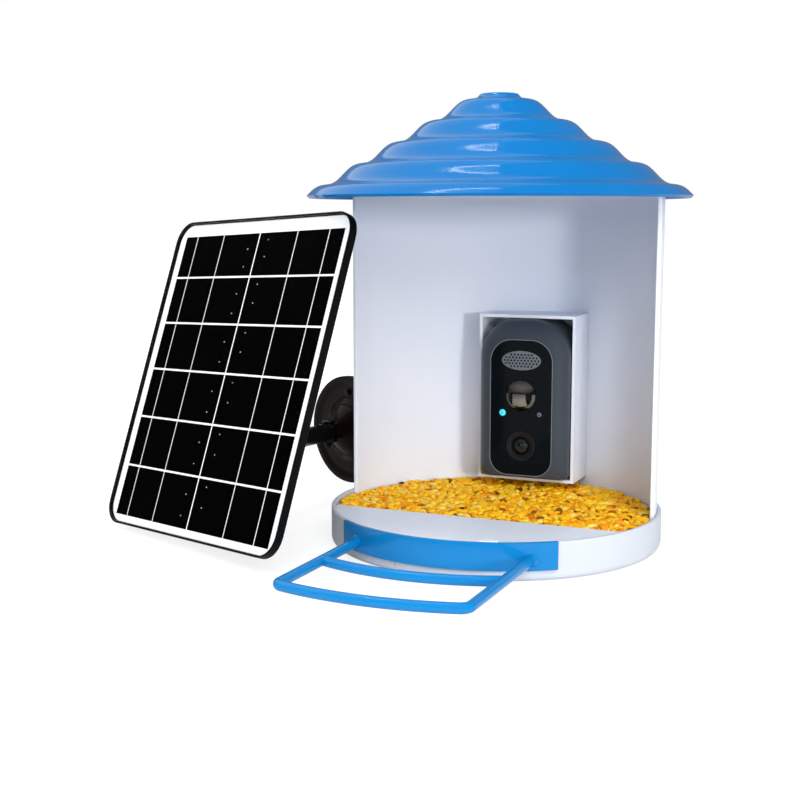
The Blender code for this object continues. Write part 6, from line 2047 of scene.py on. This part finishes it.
@dataclass
class Studio:
    """The camera, the floor, the sky and the lamps.

    Attributes:
        lamps: Each lamp's name, azimuth and elevation in degrees, distance, width, power in watts, and the
            kind of ray that doesn't see it.
    """

    azimuth: float = math.radians(19.3)
    distance: float = 0.803
    eye_height: float = 0.199
    yaw: float = math.radians(4.2)
    pitch: float = math.radians(8.0)
    focal_px: float = 1322.0
    frame_px: float = 800.0
    sensor_mm: float = 36.0
    floor_drop: float = 0.0002
    floor_radius: float = 6.0
    fade_near: float = 0.35
    fade_far: float = 0.9
    near_glow: float = 0.78
    sky: float = 0.46
    mirrored_sky: float = 0.22
    aim: float = 0.12
    lamps: tuple[tuple, ...] = (
        ("key", 43.1, 5.0, 2.2, 0.22, 15.5, "glossy"),
        ("front_panel", 33.0, 33.0, 2.0, 1.3, 29.0, "glossy"),
        ("left_panel", -58.0, 24.0, 1.6, 1.0, 9.0, "glossy"),
        ("top_panel", 10.0, 86.0, 1.6, 0.6, 6.0, "glossy"),
        ("roof_sheen", -105.0, 55.0, 2.0, 2.6, 24.0, "diffuse"),
    )
    strip_aim: float = 0.2
    strip_ends: tuple[Pair, Pair] = ((-73.0, 61.5), (19.3, 91.0))
    strip_distance: float = 1.9
    strip_width: float = 0.026
    strip_power: float = 4.6

    def build(self) -> None:
        """Sets up the view, the floor and the light."""
        scene = bpy.context.scene
        scene.view_settings.view_transform = "Standard"
        self.place_camera(scene)
        self.lay_floor()
        self.paint_sky(scene)
        middle = UP * self.aim
        for name, azimuth, elevation, distance, size, power, unseen in self.lamps:
            spot = middle + self.towards(azimuth, elevation) * distance
            turn = (middle - spot).to_track_quat("-Z", "Y").to_matrix().to_4x4()
            self.add_lamp(name, Matrix.Translation(spot) @ turn, (size, size), power, unseen)
        self.add_strip()

    def place_camera(self, scene: bpy.types.Scene) -> None:
        """Puts the camera where the photograph was taken from."""
        away = Vector((math.sin(self.azimuth), -math.cos(self.azimuth), 0))
        look = Matrix.Rotation(self.yaw, 3, "Z") @ -away
        look = look * math.cos(self.pitch) - UP * math.sin(self.pitch)
        data = bpy.data.cameras.new("camera")
        data.lens = self.focal_px / self.frame_px * self.sensor_mm
        data.sensor_width = self.sensor_mm
        data.clip_start = 0.05
        data.clip_end = 30
        view = bpy.data.objects.new("camera", data)
        scene.collection.objects.link(view)
        spot = away * self.distance + UP * self.eye_height
        view.matrix_world = Matrix.Translation(spot) @ look.to_track_quat("-Z", "Y").to_matrix().to_4x4()
        scene.camera = view

    def seen(self, tree: Tree, hidden: Node, shown: bpy.types.Node) -> Socket:
        """One shader where the camera sees it, straight or through glass, and another for all other rays."""
        path = add_node(tree, "ShaderNodeLightPath")
        both = {0: path.outputs["Is Camera Ray"], 1: path.outputs["Is Transmission Ray"]}
        flag = add_node(tree, "ShaderNodeMath", {"operation": "MAXIMUM"}, both)
        parts = {0: flag.outputs[0], 1: hidden.outputs[0], 2: shown.outputs[0]}
        return add_node(tree, "ShaderNodeMixShader", inputs=parts).outputs[0]

    def lay_floor(self) -> None:
        """A large white floor that keeps the object's shadow."""
        profile = [(radius, -self.floor_drop) for radius in (0, self.floor_radius / 3, self.floor_radius)]
        floor = linked("floor", Shape().turned(profile, 64).data("floor", outward_faces=False))
        made = bpy.data.materials.new("White studio floor")
        made.use_nodes = True
        tree = made.node_tree
        tree.nodes.clear()
        paper = add_node(tree, "ShaderNodeBsdfDiffuse", inputs={"Color": linear("#F2F2F2")})
        shadow = add_node(tree, "ShaderNodeBsdfDiffuse", inputs={"Color": linear("#A6A6A6")})
        spot = add_node(tree, "ShaderNodeNewGeometry")
        away = add_node(tree, "ShaderNodeVectorMath", {"operation": "LENGTH"}, {0: spot.outputs["Position"]})
        span = {1: self.fade_near, 2: self.fade_far, 3: self.near_glow, 4: 1.0}
        fade = add_node(tree, "ShaderNodeMapRange", inputs={"Value": away.outputs["Value"], **span})
        parts = {"Color": linear("#FFFFFF"), "Strength": fade.outputs[0]}
        shine = add_node(tree, "ShaderNodeEmission", inputs=parts)
        bright = add_node(tree, "ShaderNodeAddShader", inputs={0: shadow.outputs[0], 1: shine.outputs[0]})
        add_node(tree, "ShaderNodeOutputMaterial", inputs={"Surface": self.seen(tree, paper, bright)})
        floor.data.materials.append(made)
        floor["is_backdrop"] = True

    def paint_sky(self, scene: bpy.types.Scene) -> None:
        """A white surround: even light on the object, darker in its glossy faces, pure white behind it."""
        world = bpy.data.worlds.new("Studio surround")
        scene.world = world
        world.use_nodes = True
        tree = world.node_tree
        tree.nodes.clear()
        path = add_node(tree, "ShaderNodeLightPath")
        parts = {0: path.outputs["Is Glossy Ray"], 1: self.mirrored_sky - self.sky, 2: self.sky}
        level = add_node(tree, "ShaderNodeMath", {"operation": "MULTIPLY_ADD"}, parts)
        parts = {"Color": linear("#FDFDFF"), "Strength": level.outputs[0]}
        soft = add_node(tree, "ShaderNodeBackground", inputs=parts)
        white = add_node(tree, "ShaderNodeBackground", inputs={"Color": linear("#FFFFFF"), "Strength": 1.0})
        add_node(tree, "ShaderNodeOutputWorld", inputs={"Surface": self.seen(tree, soft, white)})

    def towards(self, azimuth: float, elevation: float) -> Vector:
        """The unit direction at two angles in degrees, the first from the open front towards +X."""
        a, e = math.radians(azimuth), math.radians(elevation)
        return Vector((math.sin(a) * math.cos(e), -math.cos(a) * math.cos(e), math.sin(e)))

    def add_lamp(self, name: str, place: Matrix, size: Pair, power: float, unseen: str) -> None:
        """Adds a rectangular lamp that one kind of ray doesn't see.

        Args:
            name: The lamp's name.
            place: Its frame, which it shines down the Z of.
            size: Its width and height.
            power: Its power in watts.
            unseen: The kind of ray, "glossy" or "diffuse".
        """
        data = bpy.data.lights.new(name, "AREA")
        data.shape = "RECTANGLE"
        data.size, data.size_y = size
        data.energy = power
        lamp = bpy.data.objects.new(name, data)
        bpy.context.scene.collection.objects.link(lamp)
        lamp.matrix_world = place
        setattr(lamp, f"visible_{unseen}", False)

    def add_strip(self) -> None:
        """A thin strip lamp that is seen only as a glint along the roof's tiers."""
        middle = UP * self.strip_aim
        start, end = (middle + self.towards(*angles) * self.strip_distance for angles in self.strip_ends)
        away = ((start + end) / 2 - middle).normalized()
        along = (end - start).normalized()
        turn = Matrix((along, away.cross(along), away)).transposed().to_4x4()
        place = Matrix.Translation((start + end) / 2) @ turn
        size = ((end - start).length, self.strip_width)
        self.add_lamp("roof_strip", place, size, self.strip_power, "diffuse")


def main() -> None:
    """Builds the sub-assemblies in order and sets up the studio."""
    logging.basicConfig(level=logging.INFO, format="%(name)s: %(message)s")
    cad_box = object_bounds()
    bracket, panel, camera = WallBracket(), SolarPanel(), CameraUnit()
    for part in (SeedTray(), RearShell(), TieredRoof(), Perch(), camera, bracket, panel):
        part.build()
    Screws().build(bracket, panel, camera)
    Studio().build()
    boxes = {"cad": cad_box, "visual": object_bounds()}
    boxes = {name: [list(map(float, corner)) for corner in box] for name, box in boxes.items()}


if __name__ == "__main__":
    main()
